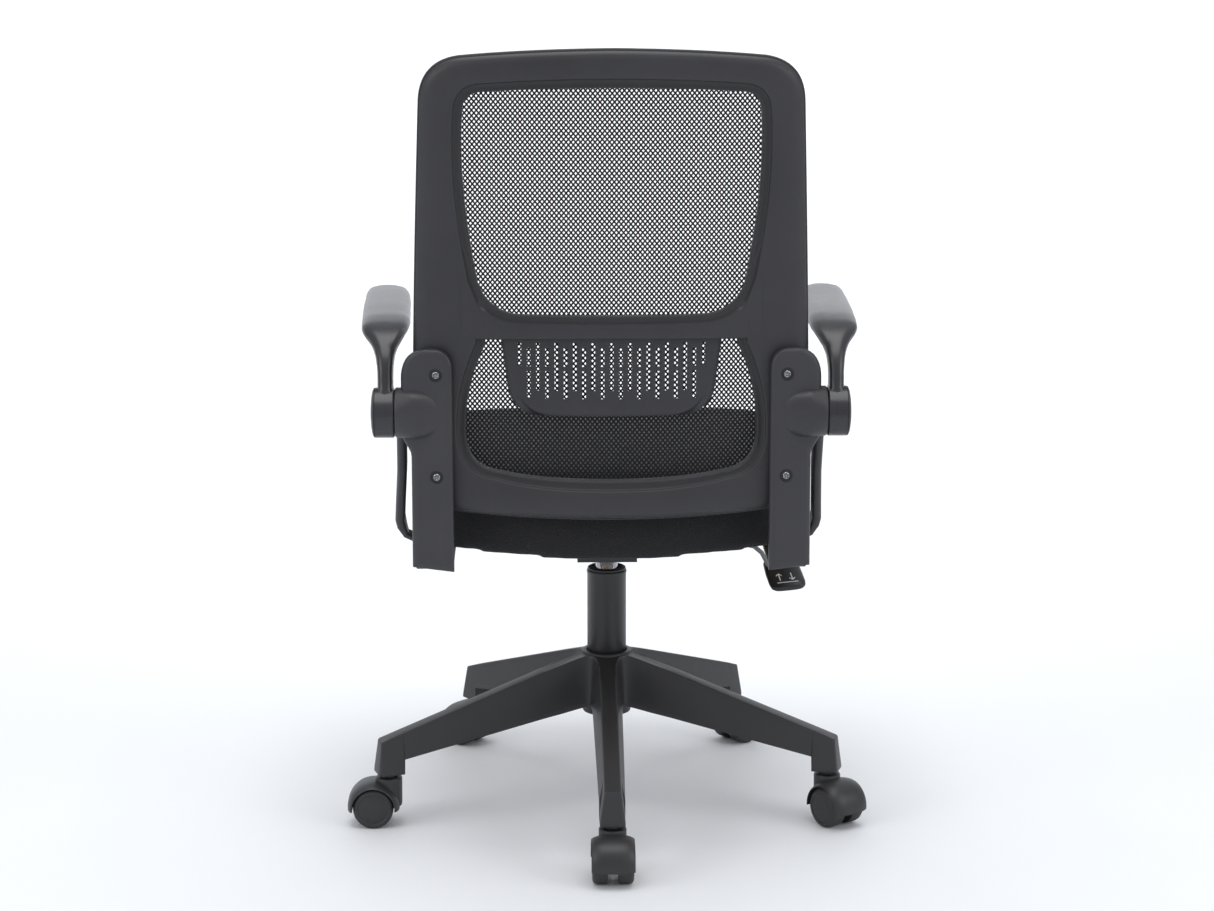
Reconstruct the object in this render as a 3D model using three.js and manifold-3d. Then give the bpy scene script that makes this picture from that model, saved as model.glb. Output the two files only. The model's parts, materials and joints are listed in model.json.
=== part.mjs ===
// Swivel office chair with a mesh back and flip-up arms, in millimetres, +Z up.
// +Y is the way the sitter faces and +X is the sitter's right hand.
// The origin is on the floor, under the middle of the chair's bounding box.
import * as THREE from "three";
import { mergeVertices } from "three/addons/utils/BufferGeometryUtils.js";
import { TessellateModifier } from "three/addons/modifiers/TessellateModifier.js";
import Module from "manifold-3d";

const wasm = await Module();
wasm.setup();

// ---------------------------------------------------------------- driving dimensions

const FIT = 0.35; // gap between pieces that touch, or that turn in one another
const columnForward = 27.5; // the column stands this far in front of the origin

const caster = {
  wheelRadius: 25.5,
  wheelWidth: 19,
  wheelGap: 12.4, // between the two wheels of one caster
  wheelSides: 20,
  trail: 19.5, // from the swivel axis to the axle
  wellGap: 1.8, // between a wheel's tread and the hood
  hoodWall: 5.7,
  hoodDrop: 7.5, // how far the hood's lowest edge is below the axle
  collarRadius: 16.4,
  collarRise: 4, // how far the collar stands above the hood
  stemRadius: 5.5,
  stemInFoot: 34, // length of stem inside the leg's foot
  stemInCollar: 22.5,
  flangeThickness: 3.8,
  flangeRadius: 10,
  axleRadius: 3,
  turns: [-90, -55, 180, 40, 140], // the way each caster trails, in degrees from +X
};

const base = {
  legAngles: [-90, -18, -162, 54, 126], // degrees from +X
  casterCircle: 293, // radius of the circle through the caster stems
  tip: 16, // how far a leg runs on past its caster stem
  hubWall: 6, // round the column tube
  hubBottom: 121,
  hubTop: 203,
  legTopAtHub: 200,
  tipHeight: 42.5, // from the foot's lower face to the leg's top
  legBottomAtHub: 134,
  footHeight: 16, // from the foot's lower face to the leg's underside
  ridgeHalfWidth: 9.5,
  halfWidthAtHub: 19,
  halfWidthAtFoot: 15,
  wall: 4,
  channelAtFoot: 26, // depth of the channel under a leg, where it meets the foot
  footLength: 33,
};

const column = {
  radius: 25,
  wall: 1.8,
  top: 309,
  floor: 126,
  floorThickness: 4,
  bushLength: 88,
  bushLip: 3,
  cylinderRadius: 14,
  cylinderWall: 2,
  cylinderFoot: 142,
  cylinderTop: 338,
  rodRadius: 5,
  rodTop: 300,
  pistonThickness: 8,
  pinRadius: 4,
  pinProud: 5, // how far the release pin stands out of the cylinder
};

const seat = {
  underside: 383, // underside of the plywood board
  boardThickness: 12,
  boardInset: 18, // from the cushion's edge to the board's
  halfWidth: 250,
  waist: 14, // how much narrower each side is beside the arm brackets
  front: 268,
  backGap: 8, // between the back's rails and the cushion
  cornerRadius: 62,
  cushionBottom: 378,
  cushionTop: 471,
  edgeRound: 14,
};

const tilt = {
  pivotForward: 60, // from the column's axis
  pivotHeight: 355,
  pinRadius: 5,
  steel: 3, // thickness of the pressed steel
  housingHalfWidth: 38,
  housingBottom: 326,
  housingBack: -34,
  housingFront: 140,
  housingTop: 374,
  housingBackTop: 351,
  socketTop: 336,
  socketWall: 5,
  plateHalfWidth: 92,
  plateBack: -100,
  plateFront: 150,
  earRadius: 13,
  springForward: 105,
  springRadius: 13,
  springWire: 1.8,
  springTurns: 4,
  boltRadius: 4,
  knobRadius: 31,
  knobHeight: 22,
};

const lever = {
  height: 345,
  rodRadius: 4,
  tongueReach: 20, // how far the flat tongue reaches past the release pin
  bushRadius: 8,
  bushLength: 11,
  paddleInner: 208,
  paddleWidth: 41,
  paddleLength: 66,
  paddleThickness: 8,
  paddleForward: -27,
  paddleHeight: 309,
  paddleSlope: 14, // degrees that its rear end hangs down
};

const back = {
  bottom: 432.5,
  top: 991,
  halfWidth: 235,
  topHalfWidth: 223,
  rail: 64, // width of each side rail
  railDepth: 22,
  topRail: 47,
  bottomRail: 46,
  crossbarBottom: 649,
  crossbarTop: 678,
  crossbarDepth: 10,
  lineSetback: 252, // the rear face, at its most forward height
  lineHeight: 540, // that height
  lineCurve: 2.2e-4, // how fast the rear face leans away above and below it
  wrapRadius: 1060, // of the curve round the sitter
  meshThickness: 1.2,
  bendGap: 1.5, // between curved pieces that lie on each other
  meshInset: 2,
};

const lumbar = {
  top: 666,
  bottom: 556,
  halfWidth: 133,
  thickness: 3,
  slotColumns: 21,
  slotPitch: 11,
  slotWidth: 5,
  upperSlotTop: 645,
  shortSlot: 28,
  longSlot: 58,
  lowerSlot: 34,
};

const arm = {
  hubRadius: 30,
  hubHeight: 558.5,
  hubSetback: 222,
  hubWidth: 24, // of the half that turns
  seamGap: 1,
  boltRadius: 5,
  headRadius: 9,
  headThickness: 6,
  recessRadius: 13,
  recessDepth: 13,
  capDome: 4,
  neckHalfWidth: 9.3,
  padHalfWidth: 26.5,
  padTop: 665,
  padFront: 101,
  padRise: 9.5, // half the pad's thickness
  splay: 8, // how far the pad's front stands further out than its back
};

const bracket = {
  lapInside: 47, // how far the plate reaches in over the back's side rail
  lapOutside: 3,
  thickness: 12,
  bottom: 374,
  top: 638,
  tabReach: 11.5, // how far the tab beside the hub stands out past the plate
  footThickness: 8,
  footFront: -64,
  footLap: 30, // how far the foot reaches in under the seat's board
  strutGap: 8.5, // between the cushion's waist and the strut
  strutRailGap: 4, // between the back's side rail and the strut, at least
  strutHalfThickness: 5.5,
  strutHalfWidth: 15,
};

const screw = {
  inset: 20, // from the bracket's inner edge
  heights: [484.5, 607.5],
  radius: 3,
  headRadius: 5,
  headHeight: 4,
  recessRadius: 7,
  recessDepth: 6,
  length: 19,
};

// ---------------------------------------------------------------- sizes that follow from others

const hubRadius = column.radius + base.hubWall;
const hoodRadius = caster.wheelRadius + caster.wellGap + caster.hoodWall;
const collarTop = caster.wheelRadius + hoodRadius + caster.collarRise;
const footBottom = collarTop + caster.flangeThickness + 2 * FIT;
const stemTop = footBottom + caster.stemInFoot;
const stemFoot = collarTop - caster.stemInCollar;
const legBottomAtFoot = footBottom + base.footHeight;
const legTopAtTip = footBottom + base.tipHeight;

// ---------------------------------------------------------------- materials

const material = (color, roughness, metalness = 0) =>
  new THREE.MeshStandardMaterial({ color, roughness, metalness });
const nylon = material(0x2c2c2f, 0.55);
const armPlastic = material(0x3a3a3e, 0.42);
const casterPlastic = material(0x242426, 0.5);
const lacqueredSteel = material(0x1f1f22, 0.45, 0.3);
const chrome = material(0xc8c8cc, 0.2, 1);
const zinc = material(0x9a9a9e, 0.4, 0.9);
const plywood = material(0xb58a5a, 0.8);
const seatFabric = material(0x161618, 0.95);
const meshFabric = material(0x1b1b1e, 0.9);

// ---------------------------------------------------------------- solids

// A geometry as a manifold-3d solid, for joining and cutting.
function solid(geometry) {
  const bare = geometry.clone();
  for (const name of ["normal", "uv"]) bare.deleteAttribute(name);
  const merged = mergeVertices(bare, 1e-4);
  return new wasm.Manifold(
    new wasm.Mesh({
      numProp: 3,
      vertProperties: new Float32Array(merged.attributes.position.array),
      triVerts: new Uint32Array(merged.index.array),
    }),
  );
}

// A manifold-3d solid as a geometry, for a THREE.Mesh.
function geometryOf(manifold) {
  const made = manifold.getMesh();
  const positions = new Float32Array(made.numVert * 3);
  for (let i = 0; i < made.numVert; i++) {
    const start = i * made.numProp;
    positions.set(made.vertProperties.subarray(start, start + 3), i * 3);
  }
  return new THREE.BufferGeometry()
    .setAttribute("position", new THREE.BufferAttribute(positions, 3))
    .setIndex(new THREE.BufferAttribute(made.triVerts, 1));
}

const join = (...geometries) => geometryOf(geometries.map(solid).reduce((a, b) => a.add(b)));
const cut = (body, ...tools) => geometryOf(tools.map(solid).reduce((a, b) => a.subtract(b), solid(body)));

const named = (name, geometry, look) => {
  const mesh = new THREE.Mesh(geometry, look);
  mesh.name = name;
  return mesh;
};

const radians = THREE.MathUtils.degToRad;
const lerp = THREE.MathUtils.lerp;

// ---------------------------------------------------------------- basic shapes

// A box between two corners.
function box(low, high) {
  const size = high.map((value, i) => value - low[i]);
  const centre = high.map((value, i) => (value + low[i]) / 2);
  return new THREE.BoxGeometry(...size).translate(...centre);
}

// An upright cylinder, or a cone where the two radii differ.
function upright(x, y, bottom, top, radius, sides = 24, topRadius = radius) {
  const height = top - bottom;
  return new THREE.CylinderGeometry(topRadius, radius, height, sides)
    .rotateX(Math.PI / 2)
    .translate(x, y, bottom + height / 2);
}

// A cylinder that lies along X.
function across(from, to, y, z, radius, sides = 24) {
  return new THREE.CylinderGeometry(radius, radius, to - from, sides)
    .rotateZ(Math.PI / 2)
    .translate((from + to) / 2, y, z);
}

// A cylinder that lies along Y.
function along(x, from, to, z, radius, sides = 24) {
  return new THREE.CylinderGeometry(radius, radius, to - from, sides).translate(x, (from + to) / 2, z);
}

// A ring or stepped sleeve turned round Z from [radius, height] corners.
function turned(corners, sides = 24) {
  const profile = corners.map(([radius, height]) => new THREE.Vector2(radius, height));
  return new THREE.LatheGeometry(profile, sides).rotateX(Math.PI / 2);
}

// An upright sleeve: its outline closes on itself.
function sleeve(inner, outer, bottom, top, sides = 24) {
  const corners = [
    [inner, bottom],
    [outer, bottom],
    [outer, top],
    [inner, top],
    [inner, bottom],
  ];
  return turned(corners, sides);
}

// Joins equal rings of points into one closed skin, with a flat fan over each end.
function loft(rings) {
  const count = rings[0].length;
  const points = rings.flat();
  const faces = [];
  for (let r = 0; r + 1 < rings.length; r++)
    for (let i = 0; i < count; i++) {
      const a = r * count + i;
      const b = r * count + ((i + 1) % count);
      faces.push(a, b, b + count, a, b + count, a + count);
    }
  const ends = [
    [0, rings[0], true],
    [(rings.length - 1) * count, rings.at(-1), false],
  ];
  for (const [start, ring, first] of ends) {
    const centre = ring.reduce((sum, p) => sum.clone().add(p), new THREE.Vector3()).divideScalar(count);
    points.push(centre);
    for (let i = 0; i < count; i++) {
      const a = start + i;
      const b = start + ((i + 1) % count);
      faces.push(...(first ? [points.length - 1, b, a] : [points.length - 1, a, b]));
    }
  }
  return new THREE.BufferGeometry()
    .setAttribute("position", new THREE.Float32BufferAttribute(points.flatMap((p) => p.toArray()), 3))
    .setIndex(faces);
}

// An oval ring with flattened sides: centre, half sizes along two directions. A loft's outside is right
// where the first direction crossed with the second points the way that the loft runs.
function ovalRing(centre, wide, halfWide, high, halfHigh, count = 12, squareness = 0.75) {
  return Array.from({ length: count }, (_, i) => {
    const angle = ((i + 0.5) / count) * 2 * Math.PI;
    const u = Math.sign(Math.cos(angle)) * Math.abs(Math.cos(angle)) ** squareness;
    const v = Math.sign(Math.sin(angle)) * Math.abs(Math.sin(angle)) ** squareness;
    return centre
      .clone()
      .addScaledVector(wide, u * halfWide)
      .addScaledVector(high, v * halfHigh);
  });
}

// A closed outline, drawn as its right half from top to bottom and mirrored to the left.
function mirrored(drawHalf, divisions) {
  const half = new THREE.Path();
  drawHalf(half);
  const right = half.getPoints(divisions);
  const left = right
    .slice(1, -1)
    .reverse()
    .map((p) => new THREE.Vector2(-p.x, p.y));
  return new THREE.Shape([...right, ...left].reverse());
}

function roundedRectangle(width, height, radius) {
  const [x, y] = [width / 2 - radius, height / 2 - radius];
  const shape = new THREE.Shape();
  shape.absarc(x, y, radius, 0, Math.PI / 2);
  shape.absarc(-x, y, radius, Math.PI / 2, Math.PI);
  shape.absarc(-x, -y, radius, Math.PI, 1.5 * Math.PI);
  shape.absarc(x, -y, radius, 1.5 * Math.PI, 2 * Math.PI);
  return shape;
}

// ---------------------------------------------------------------- star base and column

const radial = (angle, distance, z, sideways = 0) => {
  const [c, s] = [Math.cos(radians(angle)), Math.sin(radians(angle))];
  return new THREE.Vector3(c * distance - s * sideways, s * distance + c * sideways, z);
};

// One cross-section of a leg: narrow along the top and wider below.
function legRing(angle, distance, top, bottom, topHalf, bottomHalf) {
  const shoulder = Math.min(5, (top - bottom) / 3);
  return [
    radial(angle, distance, top, topHalf * 0.7),
    radial(angle, distance, top - shoulder, topHalf),
    radial(angle, distance, bottom, bottomHalf),
    radial(angle, distance, bottom, -bottomHalf),
    radial(angle, distance, top - shoulder, -topHalf),
    radial(angle, distance, top, -topHalf * 0.7),
  ].reverse();
}

const tipReach = base.casterCircle + base.tip;
const footInner = tipReach - base.footLength;

function leg(angle) {
  const ridge = base.ridgeHalfWidth;
  const root = hubRadius - base.wall - 3; // well inside the hub's own wall
  const arm = loft([
    legRing(angle, root, base.legTopAtHub, base.legBottomAtHub, ridge, base.halfWidthAtHub),
    legRing(angle, hubRadius, base.legTopAtHub, base.legBottomAtHub, ridge, base.halfWidthAtHub),
    legRing(angle, tipReach, legTopAtTip, legBottomAtFoot - 6, ridge, base.halfWidthAtFoot),
  ]);
  const roof = legBottomAtFoot + base.channelAtFoot;
  const hollow = loft([
    legRing(angle, hubRadius + 8, base.legTopAtHub - 12, 100, 5, base.halfWidthAtHub - base.wall),
    legRing(angle, footInner - base.wall, roof, 60, 5, base.halfWidthAtFoot - base.wall),
  ]);
  const foot = new THREE.BoxGeometry(base.footLength, base.halfWidthAtFoot * 2, 30)
    .translate(tipReach - base.footLength / 2, 0, footBottom + 15)
    .rotateZ(radians(angle));
  return solid(arm).subtract(solid(hollow)).add(solid(foot));
}

function starBase() {
  const hub = turned(
    [
      [0, base.hubBottom],
      [hubRadius - 1, base.hubBottom],
      [hubRadius, base.hubTop - 3],
      [hubRadius - 3, base.hubTop],
      [0, base.hubTop],
    ],
    30,
  );
  const legs = base.legAngles.map(leg);
  let whole = legs.reduce((body, next) => body.add(next), solid(hub));
  const bore = upright(0, 0, base.hubBottom - 5, base.hubTop + 5, column.radius + FIT, 24);
  whole = whole.subtract(solid(bore));
  for (const angle of base.legAngles) {
    const at = radial(angle, base.casterCircle, 0);
    const socket = upright(at.x, at.y, footBottom - 5, stemTop + 1, caster.stemRadius + FIT, 12);
    whole = whole.subtract(solid(socket));
  }
  return geometryOf(whole);
}

function columnTube() {
  const inner = column.radius - column.wall;
  const floorTop = column.floor + column.floorThickness;
  return turned([
    [column.rodRadius + FIT, column.floor],
    [column.radius, column.floor],
    [column.radius, column.top],
    [inner, column.top],
    [inner, floorTop],
    [column.rodRadius + FIT, floorTop],
    [column.rodRadius + FIT, column.floor],
  ]);
}

function columnBush() {
  const bore = column.cylinderRadius + FIT;
  const outer = column.radius - column.wall - FIT;
  const lip = column.top + FIT;
  return turned([
    [bore, column.top - column.bushLength],
    [outer, column.top - column.bushLength],
    [outer, lip],
    [column.radius - 1, lip],
    [column.radius - 1, lip + column.bushLip],
    [bore, lip + column.bushLip],
    [bore, column.top - column.bushLength],
  ]);
}

function gasCylinder() {
  const inner = column.cylinderRadius - column.cylinderWall;
  const roof = column.cylinderTop - 12;
  const gland = column.rodRadius + FIT;
  const pinBore = column.pinRadius + FIT;
  return turned([
    [gland, column.cylinderFoot],
    [column.cylinderRadius, column.cylinderFoot],
    [column.cylinderRadius, column.cylinderTop],
    [pinBore, column.cylinderTop],
    [pinBore, roof],
    [inner, roof],
    [inner, column.cylinderFoot + 10],
    [gland, column.cylinderFoot + 10],
    [gland, column.cylinderFoot],
  ]);
}

function pistonRod() {
  const piston = column.cylinderRadius - column.cylinderWall - FIT;
  const foot = column.floor - 6;
  return turned(
    [
      [0, foot],
      [column.rodRadius, foot],
      [column.rodRadius, column.rodTop - column.pistonThickness],
      [piston, column.rodTop - column.pistonThickness],
      [piston, column.rodTop],
      [0, column.rodTop],
    ],
    24,
  );
}

const releasePin = () =>
  upright(0, 0, column.cylinderTop - 10, column.cylinderTop + column.pinProud, column.pinRadius, 16);

function thrustBearing() {
  const floorTop = column.floor + column.floorThickness + FIT;
  return sleeve(column.rodRadius + FIT, column.rodRadius + 9, floorTop, floorTop + 5, 20);
}

function columnClip() {
  const top = column.floor - FIT;
  return sleeve(column.rodRadius + FIT, column.rodRadius + 5, top - 1.5, top, 16);
}

// ---------------------------------------------------------------- casters
// Each is drawn with its swivel axis on Z and its axle trailing along +X, then turned into place.

function casterStem() {
  return turned(
    [
      [0, stemFoot],
      [caster.stemRadius, stemFoot],
      [caster.stemRadius, collarTop + FIT],
      [caster.flangeRadius, collarTop + FIT],
      [caster.flangeRadius, footBottom - FIT],
      [caster.stemRadius, footBottom - FIT],
      [caster.stemRadius, stemTop],
      [0, stemTop],
    ],
    12,
  );
}

// A cylinder that lies along Y with its axis at the axle.
const aboutAxle = (radius, from, to, sides) =>
  along(caster.trail, from, to, caster.wheelRadius, radius, sides);
const wheelInner = caster.wheelGap / 2;
const wheelOuter = wheelInner + caster.wheelWidth;

function casterHood() {
  const halfWidth = wheelOuter + 0.8;
  const shell = solid(aboutAxle(hoodRadius, -halfWidth, halfWidth, 24));
  const collar = upright(0, 0, caster.wheelRadius, collarTop, caster.collarRadius, 16);
  const well = caster.wheelRadius + caster.wellGap;
  const web = wheelInner - 1;
  const below = box([-60, -60, -60], [90, 60, caster.wheelRadius - caster.hoodDrop]);
  const front = new THREE.BoxGeometry(90, 120, 90)
    .translate(-45, 0, -45)
    .rotateY(radians(28))
    .translate(caster.trail - 5, 0, caster.wheelRadius + 4);
  const tools = [
    aboutAxle(well, web, halfWidth + 5, 20),
    aboutAxle(well, -halfWidth - 5, -web, 20),
    below,
    front,
    aboutAxle(caster.axleRadius + FIT, -halfWidth, halfWidth, 12),
    upright(0, 0, stemFoot - 2, collarTop + 5, caster.stemRadius + FIT, 12),
  ];
  return geometryOf(tools.reduce((body, tool) => body.subtract(solid(tool)), shell.add(solid(collar))));
}

function casterWheel(side) {
  const bore = caster.axleRadius + FIT;
  const radius = caster.wheelRadius;
  const [near, far] = [wheelInner, wheelOuter];
  const profile = [
    [bore, near],
    [radius, near],
    [radius, far - 4],
    [radius - 4, far],
    [bore, far],
    [bore, near],
  ].map(([r, y]) => new THREE.Vector2(r, y));
  return new THREE.LatheGeometry(profile, caster.wheelSides)
    .rotateX(side > 0 ? 0 : Math.PI)
    .translate(caster.trail, 0, radius);
}

const casterAxle = () => aboutAxle(caster.axleRadius, -wheelOuter + 1, wheelOuter - 1, 12);

function casterAt(index) {
  const at = radial(base.legAngles[index], base.casterCircle, 0);
  const group = new THREE.Group();
  group.position.copy(at);
  group.rotation.z = radians(caster.turns[index]);
  const label = `caster_${index + 1}`;
  group.add(
    named(`${label}_stem`, casterStem(), zinc),
    named(`${label}_hood`, casterHood(), casterPlastic),
    named(`${label}_wheel_a`, casterWheel(1), casterPlastic),
    named(`${label}_wheel_b`, casterWheel(-1), casterPlastic),
    named(`${label}_axle`, casterAxle(), zinc),
  );
  return group;
}

// ---------------------------------------------------------------- tilt mechanism

// A plate lying in the YZ plane, drawn as [y, z] points and given a thickness along X.
function sidePlate(points, from, to) {
  const shape = new THREE.Shape(points.map(([y, z]) => new THREE.Vector2(y, z)));
  return new THREE.ExtrudeGeometry(shape, { depth: to - from, bevelEnabled: false })
    .rotateX(Math.PI / 2)
    .rotateZ(Math.PI / 2)
    .translate(from, 0, 0);
}

function mechanismHousing() {
  const outline = [
    [tilt.housingBack, tilt.housingBottom],
    [tilt.housingFront, tilt.housingBottom],
    [tilt.housingFront, tilt.housingTop],
    [tilt.pivotForward, tilt.housingTop],
    [tilt.housingBack, tilt.housingBackTop],
  ];
  const half = tilt.housingHalfWidth;
  const wall = tilt.steel;
  const inside = box(
    [-half + wall, tilt.housingBack + wall, tilt.housingBottom + wall],
    [half - wall, tilt.housingFront - wall, tilt.housingTop + 20],
  );
  const bore = column.cylinderRadius + FIT;
  const socket = upright(0, 0, tilt.housingBottom, tilt.socketTop, bore + tilt.socketWall, 24);
  const shell = solid(sidePlate(outline, -half, half)).subtract(solid(inside)).add(solid(socket));
  const boltBore = tilt.boltRadius + FIT;
  const holes = [
    upright(0, 0, tilt.housingBottom - 5, tilt.socketTop + 5, bore, 24),
    across(-half - 5, half + 5, tilt.pivotForward, tilt.pivotHeight, tilt.pinRadius + FIT, 16),
    across(half - wall - 2, half + 5, 0, lever.height, lever.bushRadius + FIT, 20),
    upright(0, tilt.springForward, tilt.housingBottom - 5, tilt.housingBottom + 10, boltBore, 12),
  ];
  return geometryOf(holes.reduce((body, hole) => body.subtract(solid(hole)), shell));
}

const plateTop = seat.underside - FIT;
const plateBottom = plateTop - tilt.steel;

function mechanismTopPlate() {
  const plate = box(
    [-tilt.plateHalfWidth, tilt.plateBack, plateBottom],
    [tilt.plateHalfWidth, tilt.plateFront, plateTop],
  );
  const earInner = tilt.housingHalfWidth + 1;
  const earDepth = tilt.earRadius;
  const ears = [-1, 1].map((side) => {
    const [from, to] = side > 0 ? [earInner, earInner + tilt.steel] : [-earInner - tilt.steel, -earInner];
    const low = [from, tilt.pivotForward - earDepth, tilt.pivotHeight - earDepth];
    return box(low, [to, tilt.pivotForward + earDepth, plateBottom + 1]);
  });
  const pinHole = across(-60, 60, tilt.pivotForward, tilt.pivotHeight, tilt.pinRadius + FIT, 16);
  return cut(join(plate, ...ears), pinHole);
}

const tiltPin = () => {
  const end = tilt.housingHalfWidth + tilt.steel + 5;
  return across(-end, end, tilt.pivotForward, tilt.pivotHeight, tilt.pinRadius, 16);
};

function tiltSpring() {
  const bottom = tilt.housingBottom + tilt.steel + tilt.springWire + FIT;
  const top = plateBottom - tilt.springWire - FIT;
  class Helix extends THREE.Curve {
    getPoint(t, target = new THREE.Vector3()) {
      const angle = t * tilt.springTurns * 2 * Math.PI;
      const [x, y] = [Math.cos(angle) * tilt.springRadius, Math.sin(angle) * tilt.springRadius];
      return target.set(x, tilt.springForward + y, lerp(bottom, top, t));
    }
  }
  const wire = new THREE.Shape().absarc(0, 0, tilt.springWire, 0, 2 * Math.PI);
  return new THREE.ExtrudeGeometry(wire, {
    steps: tilt.springTurns * 10,
    curveSegments: 3,
    extrudePath: new Helix(),
    bevelEnabled: false,
  });
}

const knobTop = tilt.housingBottom - 3;

function tensionKnob() {
  const bottom = knobTop - tilt.knobHeight;
  const knob = turned(
    [
      [0, bottom],
      [tilt.knobRadius - 4, bottom],
      [tilt.knobRadius, bottom + 4],
      [tilt.knobRadius, knobTop - 4],
      [tilt.knobRadius - 8, knobTop],
      [0, knobTop],
    ],
    24,
  ).translate(0, tilt.springForward, 0);
  const bolt = upright(0, tilt.springForward, knobTop - 12, knobTop + 5, tilt.boltRadius + FIT, 12);
  return cut(knob, bolt);
}

const tensionBolt = () =>
  upright(0, tilt.springForward, knobTop - 12 + FIT, plateBottom - 8, tilt.boltRadius, 12);

// ---------------------------------------------------------------- height lever

const leverBend = [
  [0.75, -8, 0.35],
  [1, -12, 0.94],
  [1.12, -14, 1],
];

// The bent rod, thickened for the bore that it fits. Its run is told as shares of the way to the paddle.
function leverRodShape(extra = 0) {
  const radius = lever.rodRadius + extra;
  const start = lever.tongueReach / 2;
  const [up, forward] = [new THREE.Vector3(0, 0, 1), new THREE.Vector3(0, 1, 0)];
  const drop = lever.height - lever.paddleHeight;
  const stops = [[start, 0, 0], [tilt.housingHalfWidth + lever.bushLength, 0, 0]];
  for (const [share, y, down] of leverBend) stops.push([lever.paddleInner * share, y, down]);
  const rings = stops.map(([x, y, down]) =>
    ovalRing(new THREE.Vector3(x, y, lever.height - down * drop), forward, radius, up, radius, 8, 1),
  );
  return loft(rings);
}

function leverRod() {
  const half = lever.rodRadius;
  const under = column.cylinderTop + column.pinProud + FIT;
  const tongueEnd = lever.tongueReach / 2 + 4;
  const tongue = box([-lever.tongueReach, -half - 2, under], [tongueEnd, half + 2, under + 3.5]);
  return join(leverRodShape(), tongue);
}

const leverBush = () => {
  const middle = tilt.housingHalfWidth - tilt.steel / 2;
  const half = lever.bushLength / 2;
  const body = across(middle - half, middle + half, 0, lever.height, lever.bushRadius, 20);
  const bore = across(middle - 20, middle + 20, 0, lever.height, lever.rodRadius + FIT, 12);
  return cut(body, bore);
};

function leverPaddle() {
  const outline = roundedRectangle(lever.paddleWidth, lever.paddleLength, 8);
  const blade = new THREE.ExtrudeGeometry(outline, {
    depth: lever.paddleThickness - 4,
    curveSegments: 3,
    bevelThickness: 2,
    bevelSize: 2,
    bevelSegments: 1,
    bevelOffset: -2,
  });
  blade
    .translate(0, 0, 2 - lever.paddleThickness / 2)
    .rotateX(radians(lever.paddleSlope))
    .translate(lever.paddleInner + lever.paddleWidth / 2, lever.paddleForward, lever.paddleHeight);
  const end = lever.paddleInner;
  const boss = across(end - 6, end + 30, leverBend.at(-1)[1], lever.paddleHeight, lever.rodRadius + 2.6, 12);
  return cut(join(blade, boss), leverRodShape(FIT));
}

// ---------------------------------------------------------------- seat

const seatRear = back.railDepth + seat.backGap - back.lineSetback;
const seatMiddle = -70; // behind this the sides draw in beside the arm brackets
const seatWidest = 40;

// The seat seen from above, drawn in from the cushion's edge by an inset.
function seatOutline(inset) {
  const [wide, narrow] = [seat.halfWidth - inset, seat.halfWidth - seat.waist - inset];
  const [front, rear] = [seat.front - inset, seatRear + inset];
  const corner = seat.cornerRadius - inset / 2;
  const wrap = (x) => x ** 2 / (2 * back.wrapRadius);
  return mirrored((half) => {
    half.moveTo(0, front);
    half.quadraticCurveTo((wide - corner) * 0.6, front, wide - corner, front - 6);
    half.quadraticCurveTo(wide - 4, front - 8, wide, front - corner - 10);
    half.lineTo(wide, seatWidest);
    half.lineTo(narrow, seatMiddle);
    half.lineTo(narrow, rear + wrap(narrow) + corner);
    const heel = narrow - corner;
    half.quadraticCurveTo(narrow, rear + wrap(narrow) + 4, heel, rear + wrap(heel) + 3);
    half.quadraticCurveTo((narrow - corner) / 2, rear + 1, 0, rear + 1);
  }, 4);
}

const boardTop = seat.underside + seat.boardThickness;

const seatBoard = () =>
  new THREE.ExtrudeGeometry(seatOutline(seat.boardInset), {
    depth: seat.boardThickness,
    bevelEnabled: false,
  }).translate(0, 0, seat.underside);

function seatCushion() {
  const round = seat.edgeRound;
  const height = seat.cushionTop - seat.cushionBottom;
  const body = new THREE.ExtrudeGeometry(seatOutline(round), {
    depth: height - 2 * round,
    bevelThickness: round,
    bevelSize: round,
    bevelSegments: 2,
  }).translate(0, 0, seat.cushionBottom + round);
  const depth = boardTop + FIT - seat.cushionBottom + 10;
  const pocket = new THREE.ExtrudeGeometry(seatOutline(seat.boardInset - FIT), {
    depth,
    bevelEnabled: false,
  }).translate(0, 0, seat.cushionBottom - 10);
  return cut(body, pocket);
}

// ---------------------------------------------------------------- back

// How far forward the back's rear face stands, across its width and up its height.
const backLine = (x, z) =>
  x ** 2 / (2 * back.wrapRadius) - back.lineSetback - back.lineCurve * (z - back.lineHeight) ** 2;

// An upright slab whose depth is measured forward from the back's rear face.
function slab(shape, from, depth) {
  return new THREE.ExtrudeGeometry(shape, { depth, bevelEnabled: false })
    .rotateX(Math.PI / 2)
    .translate(0, from + depth, 0);
}

// Bends a slab, or slabs joined, onto the back's curve after dividing its long edges.
function bent(flat, longestEdge) {
  const fine = new TessellateModifier(longestEdge, 16).modify(flat);
  const points = fine.attributes.position;
  for (let i = 0; i < points.count; i++) {
    const [x, y, z] = [points.getX(i), points.getY(i), points.getZ(i)];
    points.setY(i, y + backLine(x, z));
  }
  return mergeVertices(new THREE.BufferGeometry().setAttribute("position", points), 1e-4);
}

function backOutline(inset) {
  const [top, bottom] = [back.top - inset, back.bottom + inset];
  const [wide, crown] = [back.halfWidth - inset, back.topHalfWidth - inset];
  return mirrored((half) => {
    half.moveTo(0, top);
    half.quadraticCurveTo(crown * 0.45, top - 1, crown - 47, top - 9);
    half.quadraticCurveTo(crown - 3, top - 16, crown, top - 61);
    half.quadraticCurveTo(wide, lerp(bottom, top, 0.42), wide, bottom + 100);
    half.quadraticCurveTo(wide, bottom + 13, wide - 51, bottom + 8);
    half.quadraticCurveTo((wide - 51) / 2, bottom, 0, bottom);
  }, 5);
}

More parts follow.
